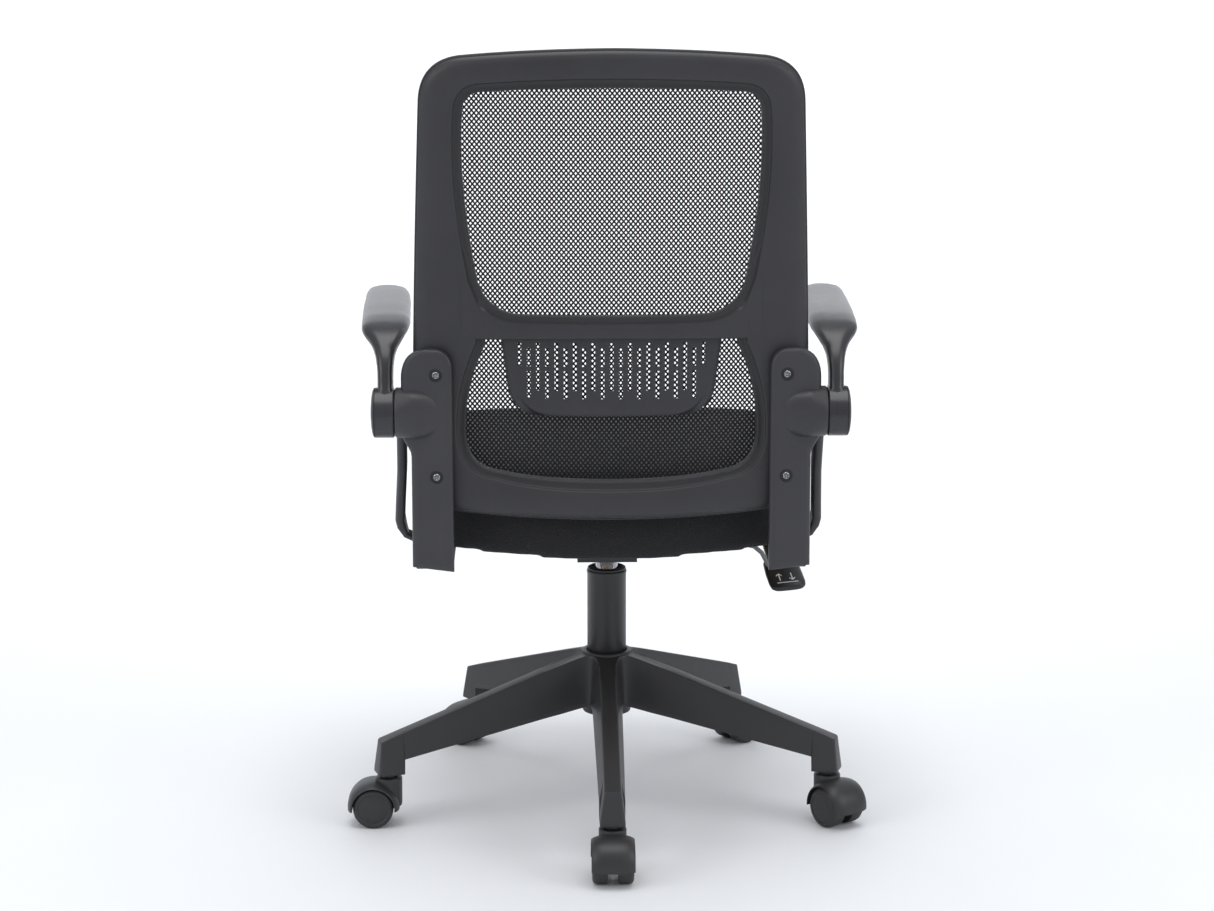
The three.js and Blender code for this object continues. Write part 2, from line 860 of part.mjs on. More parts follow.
const windowHalf = () => back.halfWidth - back.rail;

// The whole opening inside the rails, from the lower rail to the top rail.
function backOpening() {
  const wide = windowHalf();
  const [top, bottom] = [back.top - back.topRail, back.bottom + back.bottomRail];
  return mirrored((half) => {
    half.moveTo(0, top);
    half.quadraticCurveTo(wide * 0.5, top, wide - 20, top - 5);
    half.quadraticCurveTo(wide - 3, top - 8, wide - 3, top - 25);
    half.lineTo(wide + 1, top - 90);
    half.quadraticCurveTo(wide - 4, back.crossbarTop + 80, wide - 20, back.crossbarTop + 26);
    half.lineTo(wide - 22, back.crossbarBottom - 6);
    half.quadraticCurveTo(wide + 4, back.crossbarBottom - 60, wide + 2, bottom + 48);
    half.quadraticCurveTo(wide, bottom + 16, wide - 30, bottom + 14);
    half.quadraticCurveTo(wide * 0.5, bottom, 0, bottom);
  }, 4);
}

// The crossbar between the two windows, its upper edge dished like the window above it.
function crossbarOutline() {
  const wide = windowHalf();
  return mirrored((half) => {
    half.moveTo(0, back.crossbarTop);
    half.quadraticCurveTo(wide * 0.6, back.crossbarTop + 2, wide - 33, back.crossbarTop + 12);
    half.quadraticCurveTo(wide - 20, back.crossbarTop + 20, wide - 17, back.crossbarTop + 40);
    half.lineTo(wide + 6, back.crossbarTop + 40);
    half.lineTo(wide + 6, back.crossbarBottom - 12);
    half.lineTo(wide - 22, back.crossbarBottom - 3);
    half.quadraticCurveTo(wide * 0.4, back.crossbarBottom + 2, 0, back.crossbarBottom + 2);
  }, 4);
}

const screwX = () => back.halfWidth - bracket.lapInside + screw.inset;
const bracketRear = (x, z) => backLine(x, z) - bracket.thickness - back.bendGap;

function backFrame() {
  const rails = backOutline(0);
  rails.holes.push(backOpening());
  const crossbar = slab(crossbarOutline(), 0, back.crossbarDepth);
  const whole = bent(join(slab(rails, 0, back.railDepth), crossbar), 75);
  const holes = [-1, 1].flatMap((side) =>
    screw.heights.map((z) => {
      const rear = backLine(screwX(), z);
      return along(side * screwX(), rear - 8, rear + screw.length - 2, z, screw.radius + FIT, 10);
    }),
  );
  return cut(whole, ...holes);
}

const backMesh = () =>
  bent(slab(backOutline(back.meshInset), back.railDepth + back.bendGap, back.meshThickness), 75);

function lumbarPlate() {
  const wide = lumbar.halfWidth;
  const outline = mirrored((half) => {
    half.moveTo(0, lumbar.top);
    half.lineTo(wide, lumbar.top);
    half.lineTo(wide - 10, lumbar.bottom + 35);
    half.quadraticCurveTo(wide - 16, lumbar.bottom + 5, wide - 42, lumbar.bottom + 3);
    half.quadraticCurveTo(wide * 0.4, lumbar.bottom, 0, lumbar.bottom);
  }, 5);
  const rear = back.crossbarDepth + back.bendGap;
  const half = lumbar.slotWidth / 2;
  const slot = (x, top, length) =>
    box([x - half, rear - 5, top - length], [x + half, rear + lumbar.thickness + 5, top]);
  const slots = [];
  const last = lumbar.slotColumns - 1;
  for (let i = 0; i <= last; i++) {
    const x = (i - last / 2) * lumbar.slotPitch;
    if (i === 0 || i === last) slots.push(slot(x, lumbar.upperSlotTop, lumbar.shortSlot));
    else if (i % 2 === 0) slots.push(slot(x, lumbar.upperSlotTop, lumbar.longSlot));
    else {
      slots.push(slot(x, lumbar.upperSlotTop - 6, lumbar.shortSlot - 5));
      slots.push(slot(x, lumbar.upperSlotTop - 34, lumbar.lowerSlot));
    }
  }
  return bent(cut(slab(outline, rear, lumbar.thickness), ...slots), 120);
}

// ---------------------------------------------------------------- arm brackets and armrests
// Each is drawn for the right-hand side; the left-hand one is its mirror image.

const plateInner = back.halfWidth - bracket.lapInside;
const plateOuter = back.halfWidth + bracket.lapOutside;
const besideSeat = seat.halfWidth - seat.waist + bracket.strutGap;
const besideBack = back.halfWidth + back.bendGap + bracket.strutRailGap;
const strutMiddle = Math.max(besideSeat, besideBack) + bracket.strutHalfThickness;
const boardSide = seat.halfWidth - seat.waist - seat.boardInset;
// The inner end of the foot, under the board.
const footInside = Math.min(plateInner, boardSide - bracket.footLap);
const seam = Math.max(plateOuter + 19, strutMiddle + bracket.strutHalfThickness + 1);
const armInner = seam + arm.seamGap;
const armOuter = seam + arm.hubWidth;
const boltStart = back.halfWidth + back.bendGap + 2;
const hubAt = (from, to, radius, sides) => across(from, to, -arm.hubSetback, arm.hubHeight, radius, sides);

function bracketPlate() {
  const [inner, outer, tab] = [plateInner, plateOuter, plateOuter + bracket.tabReach];
  const middle = arm.hubHeight;
  const shape = new THREE.Shape();
  shape.moveTo(inner, bracket.bottom);
  shape.lineTo(outer - 10, bracket.bottom);
  shape.quadraticCurveTo(outer, bracket.bottom, outer, bracket.bottom + 12);
  shape.lineTo(outer, middle - 50);
  shape.quadraticCurveTo(outer + 2, middle - 32, tab, middle - 24);
  shape.lineTo(tab, middle + 42);
  shape.quadraticCurveTo(tab, bracket.top, inner + 24, bracket.top);
  shape.quadraticCurveTo(inner, bracket.top, inner, bracket.top - 26);
  const settings = { depth: bracket.thickness, bevelEnabled: false, curveSegments: 4 };
  return new THREE.ExtrudeGeometry(shape, settings)
    .rotateX(Math.PI / 2)
    .translate(0, -back.bendGap, 0);
}

// The strap that runs down from the hub and curls in under the seat.
function bracketStrut() {
  const side = new THREE.Vector3(1, 0, 0);
  const low = bracket.footThickness / 2;
  const under = seat.cushionBottom - FIT - low - 1.5;
  const [x, half, wide] = [strutMiddle, bracket.strutHalfThickness, bracket.strutHalfWidth];
  const ring = (at, thickness, broad, halfThickness) =>
    ovalRing(new THREE.Vector3(...at), thickness, halfThickness, broad, wide, 8, 0.35);
  const slope = new THREE.Vector3(0, -0.8, -0.6);
  const steep = new THREE.Vector3(0, -0.97, -0.24);
  const level = new THREE.Vector3(0, -1, 0);
  const turning = new THREE.Vector3(0.75, 0, -0.66);
  const down = new THREE.Vector3(0, 0, -1);
  return loft([
    ring([x, -arm.hubSetback + 14, arm.hubHeight - 8], side, slope, half),
    ring([x, -112, 432], side, slope, half),
    ring([x, -94, 402], side, steep, half),
    ring([x - 3, -88, under + 8], turning, level, half - 1),
    ring([x - 14, -84, under], down, level, low),
    ring([footInside + 10, -84, under], down, level, low),
  ]);
}

function bracketFoot() {
  const top = seat.cushionBottom - FIT - 1.5;
  const bottom = top - bracket.footThickness;
  const rear = -arm.hubSetback - 20;
  const strap = box([footInside, rear, bottom], [plateOuter - 1, bracket.footFront, top]);
  const boss = box(
    [footInside + 1, seatRear + seat.cornerRadius + 45, bottom + 1],
    [boardSide - 3, bracket.footFront - 5, seat.underside - FIT],
  );
  return join(strap, boss);
}

// The room that the back's side rail takes up, which the hub's fixed half leaves free.
function railRoom() {
  const [bottom, top] = [arm.hubHeight - arm.hubRadius - 5, arm.hubHeight + arm.hubRadius + 5];
  const room = box(
    [plateInner - 10, 0.1 - back.bendGap, bottom],
    [back.halfWidth + back.bendGap, 2 * arm.hubRadius + 20, top],
  );
  return bent(room, 60);
}

function armBracket() {
  const plate = bent(bracketPlate(), 60);
  const hub = cut(hubAt(plateInner + 18, seam, arm.hubRadius, 24), railRoom());
  const tools = [hubAt(boltStart - FIT, seam + 5, arm.boltRadius + FIT, 16)];
  for (const z of screw.heights) {
    const rear = bracketRear(screwX(), z);
    tools.push(along(screwX(), rear - 12, rear + screw.recessDepth, z, screw.recessRadius, 16));
    tools.push(along(screwX(), rear - 12, rear + 40, z, screw.radius + FIT, 10));
  }
  return cut(join(plate, hub, bracketFoot(), bracketStrut()), ...tools);
}

function armrest() {
  const hub = hubAt(armInner, armOuter, arm.hubRadius, 24);
  const x = armInner + arm.neckHalfWidth + 1;
  const rise = arm.padTop - arm.padRise;
  const side = new THREE.Vector3(1, 0, 0);
  const pivot = -arm.hubSetback;
  const middle = x + arm.padHalfWidth - arm.neckHalfWidth - 14; // of the pad's back end
  // [x, y, z, half width, half depth, lean from upright in degrees]
  const stations = [
    [x, pivot + 2, arm.hubHeight + 6, arm.neckHalfWidth, 19, 0],
    [x, pivot + 6, arm.hubHeight + 44, arm.neckHalfWidth, 15, 12],
    [x + 0.5, pivot + 16, arm.hubHeight + 66, arm.neckHalfWidth + 3, 13, 28],
    [x + 1, pivot + 32, rise - 16, arm.padHalfWidth * 0.68, 12, 45],
    [middle - 3, pivot + 56, rise - 3, arm.padHalfWidth * 0.97, 11, 72],
    [middle - 2, pivot + 90, rise, arm.padHalfWidth, arm.padRise, 90],
    [middle + arm.splay - 4, arm.padFront - 60, rise, arm.padHalfWidth - 1, arm.padRise, 90],
    [middle + arm.splay - 1, arm.padFront - 14, rise, arm.padHalfWidth - 4, arm.padRise, 90],
    [middle + arm.splay, arm.padFront, rise, arm.padHalfWidth - 13, arm.padRise - 3, 90],
  ];
  const rings = stations.map(([px, y, z, halfWidth, halfDepth, lean]) => {
    const [c, s] = [Math.cos(radians(lean)), Math.sin(radians(lean))];
    const depthways = new THREE.Vector3(0, c, -s);
    return ovalRing(new THREE.Vector3(px, y, z), side, halfWidth, depthways, halfDepth, 12, 0.75);
  });
  const bore = hubAt(armInner - 5, armOuter + 5, arm.boltRadius + FIT, 16);
  const recess = hubAt(armOuter - arm.recessDepth, armOuter + 5, arm.recessRadius, 20);
  return cut(join(hub, loft(rings)), bore, recess);
}

function pivotBolt() {
  const seatAt = armOuter - arm.recessDepth + FIT;
  const shank = hubAt(boltStart, seatAt + 1, arm.boltRadius, 16);
  return join(shank, hubAt(seatAt, seatAt + arm.headThickness, arm.headRadius, 12));
}

// The cap that closes the hub's outer end: a shallow dome with a spigot that fits the bolt's recess.
function pivotCap() {
  const spigot = arm.recessRadius - FIT;
  const profile = [
    [0, -3.5],
    [spigot, -3.5],
    [spigot, FIT],
    [arm.hubRadius, FIT],
    [arm.hubRadius - 3, arm.capDome * 0.6],
    [0, arm.capDome],
  ].map(([r, y]) => new THREE.Vector2(r, y));
  return new THREE.LatheGeometry(profile, 24)
    .rotateZ(-Math.PI / 2)
    .translate(armOuter, -arm.hubSetback, arm.hubHeight);
}

function backScrew(z) {
  const headAt = bracketRear(screwX(), z) + screw.recessDepth - FIT;
  const head = along(screwX(), headAt - screw.headHeight, headAt, z, screw.headRadius, 12);
  return join(head, along(screwX(), headAt - 1, headAt + screw.length, z, screw.radius, 10));
}

// The left-hand copy of a right-hand piece, its triangles turned so that they still face outward.
function leftHand(geometry) {
  const flipped = geometry.index ? geometry.toNonIndexed() : geometry.clone();
  flipped.scale(-1, 1, 1);
  const array = flipped.attributes.position.array;
  for (let i = 0; i < array.length; i += 9) {
    const second = array.slice(i + 3, i + 6);
    array.copyWithin(i + 3, i + 6, i + 9);
    array.set(second, i + 6);
  }
  return new THREE.BufferGeometry().setAttribute("position", flipped.attributes.position);
}

// ---------------------------------------------------------------- the chair

const chair = new THREE.Group();
chair.position.y = columnForward;

chair.add(
  named("star_base", starBase(), nylon),
  named("column_tube", columnTube(), lacqueredSteel),
  named("column_bush", columnBush(), nylon),
  named("gas_cylinder", gasCylinder(), chrome),
  named("piston_rod", pistonRod(), zinc),
  named("release_pin", releasePin(), zinc),
  named("thrust_bearing", thrustBearing(), zinc),
  named("column_clip", columnClip(), zinc),
);
for (let i = 0; i < base.legAngles.length; i++) chair.add(casterAt(i));
chair.add(
  named("mechanism_housing", mechanismHousing(), lacqueredSteel),
  named("mechanism_top_plate", mechanismTopPlate(), lacqueredSteel),
  named("tilt_pin", tiltPin(), zinc),
  named("tilt_spring", tiltSpring(), zinc),
  named("tension_knob", tensionKnob(), nylon),
  named("tension_bolt", tensionBolt(), zinc),
  named("lever_bush", leverBush(), nylon),
  named("lever_rod", leverRod(), lacqueredSteel),
  named("lever_paddle", leverPaddle(), casterPlastic),
  named("seat_board", seatBoard(), plywood),
  named("seat_cushion", seatCushion(), seatFabric),
  named("back_frame", backFrame(), nylon),
  named("back_mesh", backMesh(), meshFabric),
  named("lumbar_plate", lumbarPlate(), nylon),
);
const handed = [
  ["arm_bracket", armBracket(), nylon],
  ["armrest", armrest(), armPlastic],
  ["arm_pivot_bolt", pivotBolt(), zinc],
  ["arm_pivot_cap", pivotCap(), nylon],
  ["back_screw_lower", backScrew(screw.heights[0]), zinc],
  ["back_screw_upper", backScrew(screw.heights[1]), zinc],
];
for (const [name, geometry, look] of handed) {
  chair.add(named(`${name}_right`, geometry, look), named(`${name}_left`, leftHand(geometry), look));
}

const whole = new THREE.Group();
whole.add(chair);
export default whole;
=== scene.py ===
# %% [markdown]
# # A swivel office chair with a mesh back
#
# The chair's working parts are already made and packed as a fixed frame: the star base, the gas
# column, the tilt mechanism, the arm brackets and every joint. This lesson gives them their looks.
# Hard parts that are moulded or turned are modelled again with their real edges and curves, and
# soft parts are made as cloth. Everything is in metres, +Y is the way the sitter faces, +Z is up.

# %% Load the frame
import json
import math

import bmesh
import bpy
from mathutils import Matrix, Vector
from mathutils.bvhtree import BVHTree


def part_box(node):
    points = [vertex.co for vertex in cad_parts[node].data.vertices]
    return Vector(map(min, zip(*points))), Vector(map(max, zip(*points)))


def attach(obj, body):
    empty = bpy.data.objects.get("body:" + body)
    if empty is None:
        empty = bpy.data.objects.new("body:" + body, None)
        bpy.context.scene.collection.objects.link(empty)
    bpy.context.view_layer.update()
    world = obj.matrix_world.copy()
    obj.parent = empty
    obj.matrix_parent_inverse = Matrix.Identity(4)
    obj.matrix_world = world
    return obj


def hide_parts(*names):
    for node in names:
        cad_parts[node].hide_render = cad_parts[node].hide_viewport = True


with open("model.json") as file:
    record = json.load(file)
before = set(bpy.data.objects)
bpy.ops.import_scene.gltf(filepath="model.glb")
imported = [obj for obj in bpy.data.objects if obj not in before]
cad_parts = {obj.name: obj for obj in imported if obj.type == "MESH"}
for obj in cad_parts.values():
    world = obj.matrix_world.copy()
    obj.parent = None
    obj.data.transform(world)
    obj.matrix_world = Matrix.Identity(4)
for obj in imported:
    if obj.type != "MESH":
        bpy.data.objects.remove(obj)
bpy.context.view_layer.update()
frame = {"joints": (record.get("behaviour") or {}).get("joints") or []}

# %% [markdown]
# The frame tells where things are. The column's box gives the swivel axis, and a joint in the record
# gives the centre of the arm pivots.

# %% Places taken from the frame
MM = 0.001


def box_of(node):
    """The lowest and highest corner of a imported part."""
    return [Vector(corner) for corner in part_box(node)]


joints = {joint["name"]: joint for joint in frame["joints"]}
tube_low, tube_high = box_of("column_tube")
COLUMN_Y = (tube_low.y + tube_high.y) / 2
arm_pivot = Vector(joints["arm_right_flip"]["pos_m"])
print("column stands at y", round(COLUMN_Y, 4), "and the arms turn about", arm_pivot)

# %% [markdown]
# ## Light, floor and camera
#
# A product shot on white: one big soft light above and behind the camera, one on each side, and a pale
# floor that curves up into a backdrop, so that no line shows where they meet. The camera looks down a
# little at the chair's back through a long lens, which keeps the uprights nearly parallel.

# %% Floor and backdrop
scene = bpy.context.scene


def principled(name, colour, roughness, metallic=0.0):
    """A material with one Principled shader, its even values set on the shader's own sockets."""
    look = bpy.data.materials.new(name)
    look.use_nodes = True
    shader = look.node_tree.nodes["Principled BSDF"]
    shader.inputs["Base Color"].default_value = (*colour, 1)
    shader.inputs["Roughness"].default_value = roughness
    shader.inputs["Metallic"].default_value = metallic
    return look


FLOOR_HALF_WIDTH = 8.0
FLOOR_FRONT = -7.0
WALL_START = 2.6
WALL_HEIGHT = 5.0
BEND_RADIUS = 1.6
BEND_STEPS = 12
backdrop = bmesh.new()
corners = [backdrop.verts.new((x, FLOOR_FRONT, 0)) for x in (-FLOOR_HALF_WIDTH, FLOOR_HALF_WIDTH)]
edges = [backdrop.edges.new(corners)]
path = [Vector((0, WALL_START - FLOOR_FRONT, 0))]
for step in range(1, BEND_STEPS + 1):
    angle = math.radians(90) * step / BEND_STEPS
    y = WALL_START + BEND_RADIUS * math.sin(angle)
    path.append(Vector((0, y - FLOOR_FRONT, BEND_RADIUS * (1 - math.cos(angle)))))
path.append(Vector((0, WALL_START + BEND_RADIUS - FLOOR_FRONT, WALL_HEIGHT)))
travelled = Vector()
for stop in path:
    made = bmesh.ops.extrude_edge_only(backdrop, edges=edges)["geom"]
    fresh = [part for part in made if isinstance(part, bmesh.types.BMVert)]
    bmesh.ops.translate(backdrop, verts=fresh, vec=stop - travelled)
    edges = [part for part in made if isinstance(part, bmesh.types.BMEdge)]
    travelled = stop
for face in backdrop.faces:
    face.smooth = True
floor_mesh = bpy.data.meshes.new("studio_floor")
backdrop.to_mesh(floor_mesh)
backdrop.free()
floor = bpy.data.objects.new("studio_floor", floor_mesh)
scene.collection.objects.link(floor)
floor_mesh.materials.append(principled("studio_paper", (0.80, 0.815, 0.835), 0.6))
print("floor and backdrop made from", len(floor_mesh.polygons), "faces")

# %% Lights and camera


def area_light(name, place, aim, size, power):
    """A square soft light that points at aim."""
    lamp = bpy.data.lights.new(name, "AREA")
    lamp.shape = "SQUARE"
    lamp.size = size
    lamp.energy = power
    holder = bpy.data.objects.new(name, lamp)
    holder.location = place
    holder.rotation_euler = (Vector(aim) - Vector(place)).to_track_quat("-Z", "Y").to_euler()
    scene.collection.objects.link(holder)


area_light("overhead_softbox", (0, -0.4, 3.2), (0, 0, 0.5), 2.6, 62)
for side, label in ((-1, "left"), (1, "right")):
    area_light(f"{label}_softbox", (side * 2.8, -1.6, 1.8), (0, 0, 0.6), 1.8, 26)
    area_light(f"backdrop_{label}", (side * 2.2, 2.0, 2.2), (side * 0.6, 4.2, 1.2), 1.6, 45)
world = bpy.data.worlds.new("studio_air")
world.use_nodes = True
world.node_tree.nodes["Background"].inputs["Color"].default_value = (0.93, 0.95, 1.0, 1)
world.node_tree.nodes["Background"].inputs["Strength"].default_value = 0.55
scene.world = world

CAMERA_DISTANCE = 3.6
CAMERA_HEIGHT = 1.2236
CAMERA_PITCH = math.radians(12.01)
CAMERA_YAW = math.radians(-1.4)
LENS = 85.65
camera_data = bpy.data.cameras.new("camera")
camera_data.lens = LENS
camera_data.sensor_width = 36
camera_data.shift_x = 0.0003
camera = bpy.data.objects.new("camera", camera_data)
camera.location = (
    math.sin(CAMERA_YAW) * CAMERA_DISTANCE,
    COLUMN_Y - math.cos(CAMERA_YAW) * CAMERA_DISTANCE,
    CAMERA_HEIGHT,
)
camera.rotation_euler = (math.radians(90) - CAMERA_PITCH, 0, CAMERA_YAW)
scene.collection.objects.link(camera)
scene.camera = camera
scene.view_settings.view_transform = "Standard"
print("camera at", tuple(round(v, 2) for v in camera.location))

# %% [markdown]
# ## Finishes
#
# Shader maths reads best as ordinary expressions, so a small class wraps a node's output and gives it
# plus, minus, times and so on. Every finish varies a little over the surface, as real ones do: moulded
# nylon has a fine grain and faint cloudiness, powder coat has an orange-peel skin, and chrome has wear.

# %% A small language for shader nodes


class Wire:
    """One output of a node tree, with arithmetic on it."""

    def __init__(self, tree, socket):
        self.tree = tree
        self.socket = socket

    def node(self, kind, settings=None, output=0, **values):
        """Adds a node: its settings first, then the values or links of its sockets."""
        made = self.tree.nodes.new(kind)
        for key, value in (settings or {}).items():
            setattr(made, key, value)
        for key, value in values.items():
            socket = made.inputs[int(key[1:])] if key[1:].isdigit() else made.inputs[key.replace("_", " ")]
            if isinstance(value, Wire):
                self.tree.links.new(value.socket, socket)
            else:
                socket.default_value = value
        return Wire(self.tree, made.outputs[output])

    def math(self, operation, other=0.0, clamp=False):
        return self.node("ShaderNodeMath", {"operation": operation, "use_clamp": clamp}, i0=self, i1=other)

    def __add__(self, other):
        return self.math("ADD", other)

    __radd__ = __add__

    def __mul__(self, other):
        return self.math("MULTIPLY", other)

    __rmul__ = __mul__

    def __sub__(self, other):
        return self.math("SUBTRACT", other)

    def __rsub__(self, other):
        return self.node("ShaderNodeMath", {"operation": "SUBTRACT"}, i0=other, i1=self)

    def stretched(self, low, high):
        """0 below low, 1 above high and even in between."""
        return ((self - low) * (1 / (high - low))).math("ADD", 0.0, clamp=True)

    def mixed(self, first, second):
        """The colour first where this is 0 and second where it is 1."""
        made = self.tree.nodes.new("ShaderNodeMix")
        made.data_type = "RGBA"
        self.tree.links.new(self.socket, made.inputs[0])
        made.inputs[6].default_value = (*first, 1)
        made.inputs[7].default_value = (*second, 1)
        return Wire(self.tree, made.outputs[2])


def surface_position(look):
    """Object coordinates, in metres, as the pattern space of a finish."""
    tree = look.node_tree
    return Wire(tree, tree.nodes.new("ShaderNodeTexCoord").outputs["Object"])


def noise(place, scale, detail=3.0, roughness=0.55):
    return place.node("ShaderNodeTexNoise", Vector=place, Scale=scale, Detail=detail, Roughness=roughness)


def feed(look, **wires):
    """Links wires into the finish's shader sockets, by socket name."""
    shader = look.node_tree.nodes["Principled BSDF"]
    for name, wire in wires.items():
        look.node_tree.links.new(wire.socket, shader.inputs[name.replace("_", " ")])


def bump(place, height, distance, strength=1.0):
    return place.node("ShaderNodeBump", Height=height, Distance=distance, Strength=strength)


# %% [markdown]
# Moulded nylon: the mould's spark-eroded skin is a fine grain about half a millimetre across. It shows
# as soft sparkle at a low angle, so it goes into the bump and, more faintly, the roughness. Broad, slow
# noise makes the colour drift as regrind and handling do.

# %% Plastics


def moulded(name, dark, light, roughness, grain=0.00003):
    look = principled(name, dark, roughness)
    place = surface_position(look)
    cloud = noise(place, 7.0).stretched(0.3, 0.7)
    skin = noise(place, 1900.0, 2.0)
    scuff = noise(place, 38.0, 6.0, 0.7).stretched(0.56, 0.78)
    feed(
        look,
        Base_Color=(cloud * 0.7 + scuff * 0.3).mixed(dark, light),
        Roughness=roughness + (skin - 0.5) * 0.16 + cloud * 0.05 - scuff * 0.06,
        Normal=bump(place, skin, grain),
    )
    return look


nylon = moulded("charcoal_nylon", (0.023, 0.0222, 0.0262), (0.0315, 0.0305, 0.0352), 0.46)
base_nylon = moulded("base_nylon", (0.022, 0.022, 0.024), (0.031, 0.031, 0.034), 0.44)
# Darker nylon for the floor of the sunken bands round the openings: painted shade of the recess, on the same moulding
# as the rest.
band_nylon_painted_shade = moulded("band_nylon_painted_shade", (0.017, 0.0165, 0.0195), (0.023, 0.0225, 0.026), 0.5)
bracket_nylon = moulded("bracket_nylon", (0.029, 0.0282, 0.0325), (0.040, 0.039, 0.0445), 0.44)
arm_plastic = moulded("armrest_plastic", (0.023, 0.0225, 0.026), (0.031, 0.0305, 0.0345), 0.27)
caster_plastic = moulded("caster_plastic", (0.018, 0.018, 0.020), (0.028, 0.028, 0.031), 0.40)
tread_plastic = moulded("tread_plastic", (0.020, 0.020, 0.022), (0.036, 0.035, 0.035), 0.55, 0.00006)
# Near-black painted shade for the raised ring round each screw head, which stands for the shadow in the recess.
recess_painted_shade = moulded("recess_painted_shade", (0.003, 0.003, 0.003), (0.006, 0.006, 0.006), 0.6)
mark_ink = moulded("mark_ink", (0.70, 0.71, 0.72), (0.80, 0.80, 0.81), 0.5)
insert_plastic = moulded("insert_plastic", (0.16, 0.16, 0.17), (0.22, 0.22, 0.23), 0.4)
lever_plastic = moulded("lever_plastic", (0.010, 0.010, 0.012), (0.018, 0.018, 0.021), 0.30)

# %% [markdown]
# Metals: powder coat is paint, so it is not metallic in the shader, with an orange-peel skin of a few
# tenths of a millimetre. Chrome and zinc are metallic, and wiped and handled marks change only how
# sharply they reflect.

# %% Metals


def metal(name, colour, roughness, streak):
    look = principled(name, colour, roughness, 1.0)
    place = surface_position(look)
    wipe = noise(place, streak, 5.0, 0.65)
    feed(
        look,
        Base_Color=wipe.stretched(0.3, 0.7).mixed([c * 0.88 for c in colour], colour),
        Roughness=roughness + (wipe - 0.5) * 0.18,
    )
    return look


powder_coat = moulded("powder_coat", (0.021, 0.021, 0.023), (0.030, 0.030, 0.033), 0.38, 0.00008)
chrome = metal("polished_chrome", (0.74, 0.75, 0.77), 0.12, 60)
zinc = metal("bright_zinc", (0.52, 0.53, 0.56), 0.30, 240)
screw_steel = metal("screw_steel", (0.30, 0.31, 0.33), 0.2, 300)

# %% [markdown]
# Plywood: the board under the cushion shows its face veneer from below. Rings seen along the grain
# are long stripes, so noise stretched along one axis gives the figure and a finer one the pores.

# %% Plywood


def plywood_finish():
    look = principled("raw_plywood", (0.5, 0.34, 0.19), 0.7)
    place = surface_position(look)
    long_grain = place.node("ShaderNodeMapping", Vector=place, Scale=(22, 2.2, 22))
    pores = place.node("ShaderNodeMapping", Vector=place, Scale=(900, 30, 900))
    figure = noise(long_grain, 1.0, 4.0).stretched(0.3, 0.7)
    pore = noise(pores, 1.0, 2.0).stretched(0.5, 0.75)
    feed(
        look,
        Base_Color=(figure * 0.7 + pore * 0.3).mixed((0.30, 0.22, 0.13), (0.18, 0.11, 0.06)),
        Roughness=0.62 + pore * 0.2,
        Normal=bump(place, pore, 0.00008),
    )
    return look


plywood = plywood_finish()

# %% [markdown]
# Knitted cloth: the seat is a spacer knit whose face is a close pattern of small round cells in staggered
# rows. Two sine waves crossing at an angle make such a lattice with no texture image. The pattern must
# lie on the top and on the sides alike, so the side's height is folded into the same coordinates.

# %% Fabrics


def knit(name, dark, light, across, along_cell, depth, sheen=0.12):
    """A staggered lattice of cells, across wide and along_cell long, in metres."""
    look = principled(name, dark, 0.92)
    look.node_tree.nodes["Principled BSDF"].inputs["Sheen Weight"].default_value = sheen
    place = surface_position(look)
    split = place.tree.nodes.new("ShaderNodeSeparateXYZ")
    place.tree.links.new(place.socket, split.inputs[0])
    x, y, z = (Wire(place.tree, split.outputs[i]) for i in range(3))
    u = x + y * 0.31
    v = z + y * 0.95
    first = ((u * (math.pi / across)) + (v * (math.pi / along_cell))).math("SINE")
    second = ((u * (math.pi / across)) - (v * (math.pi / along_cell))).math("SINE")
    cell = (first * second).math("ABSOLUTE")
    fuzz = noise(place, 2600.0, 2.0)
    drift = noise(place, 5.0).stretched(0.3, 0.7)
    feed(
        look,
        Base_Color=(cell * 0.75 + fuzz * 0.25).math("MULTIPLY", 0.6 + drift * 0.4).mixed(dark, light),
        Roughness=0.86 + fuzz * 0.12,
        Normal=bump(place, cell + fuzz * 0.3, depth),
    )
    return look


seat_knit = knit("seat_knit", (0.004, 0.004, 0.005), (0.011, 0.011, 0.013), 0.0036, 0.0030, 0.0005)
border_knit = knit("border_knit", (0.006, 0.006, 0.007), (0.035, 0.035, 0.038), 0.0030, 0.0026, 0.0004)
net_yarn = knit("net_yarn", (0.003, 0.003, 0.004), (0.009, 0.0087, 0.010), 0.0012, 0.0010, 0.0001, 0.02)
print("made", len(bpy.data.materials), "finishes")

# %% [markdown]
# ## Helpers for making pieces
#
# Three moves make nearly every hard part of a chair. A round part is a profile spun about an axis. A
# part that runs along a path is a ring of points extruded again and again, each new ring moved to its
# own place. Whatever the shape, edges sharper than a limit stay crisp and the rest shade smooth.

# %% Making and keeping pieces


def keep(bm, name, body, finish, replaces=(), slot=None, sharp=38, clean=True):
    """Turns a bmesh into a finished piece that rides on a body."""
    if clean:
        bmesh.ops.remove_doubles(bm, verts=bm.verts, dist=2e-6)
        bmesh.ops.recalc_face_normals(bm, faces=bm.faces)
    for face in bm.faces:
        face.smooth = True
    limit = math.radians(sharp)
    for edge in bm.edges:
        edge.smooth = len(edge.link_faces) != 2 or edge.calc_face_angle() < limit
    mesh = bpy.data.meshes.new(name)
    bm.to_mesh(mesh)
    bm.free()
    mesh.materials.append(finish)
    piece = bpy.data.objects.new(name, mesh)
    scene.collection.objects.link(piece)
    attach(piece, body)
    if replaces:
        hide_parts(*replaces)
    print(f"{name}: {len(mesh.polygons)} faces on {body}")
    return piece


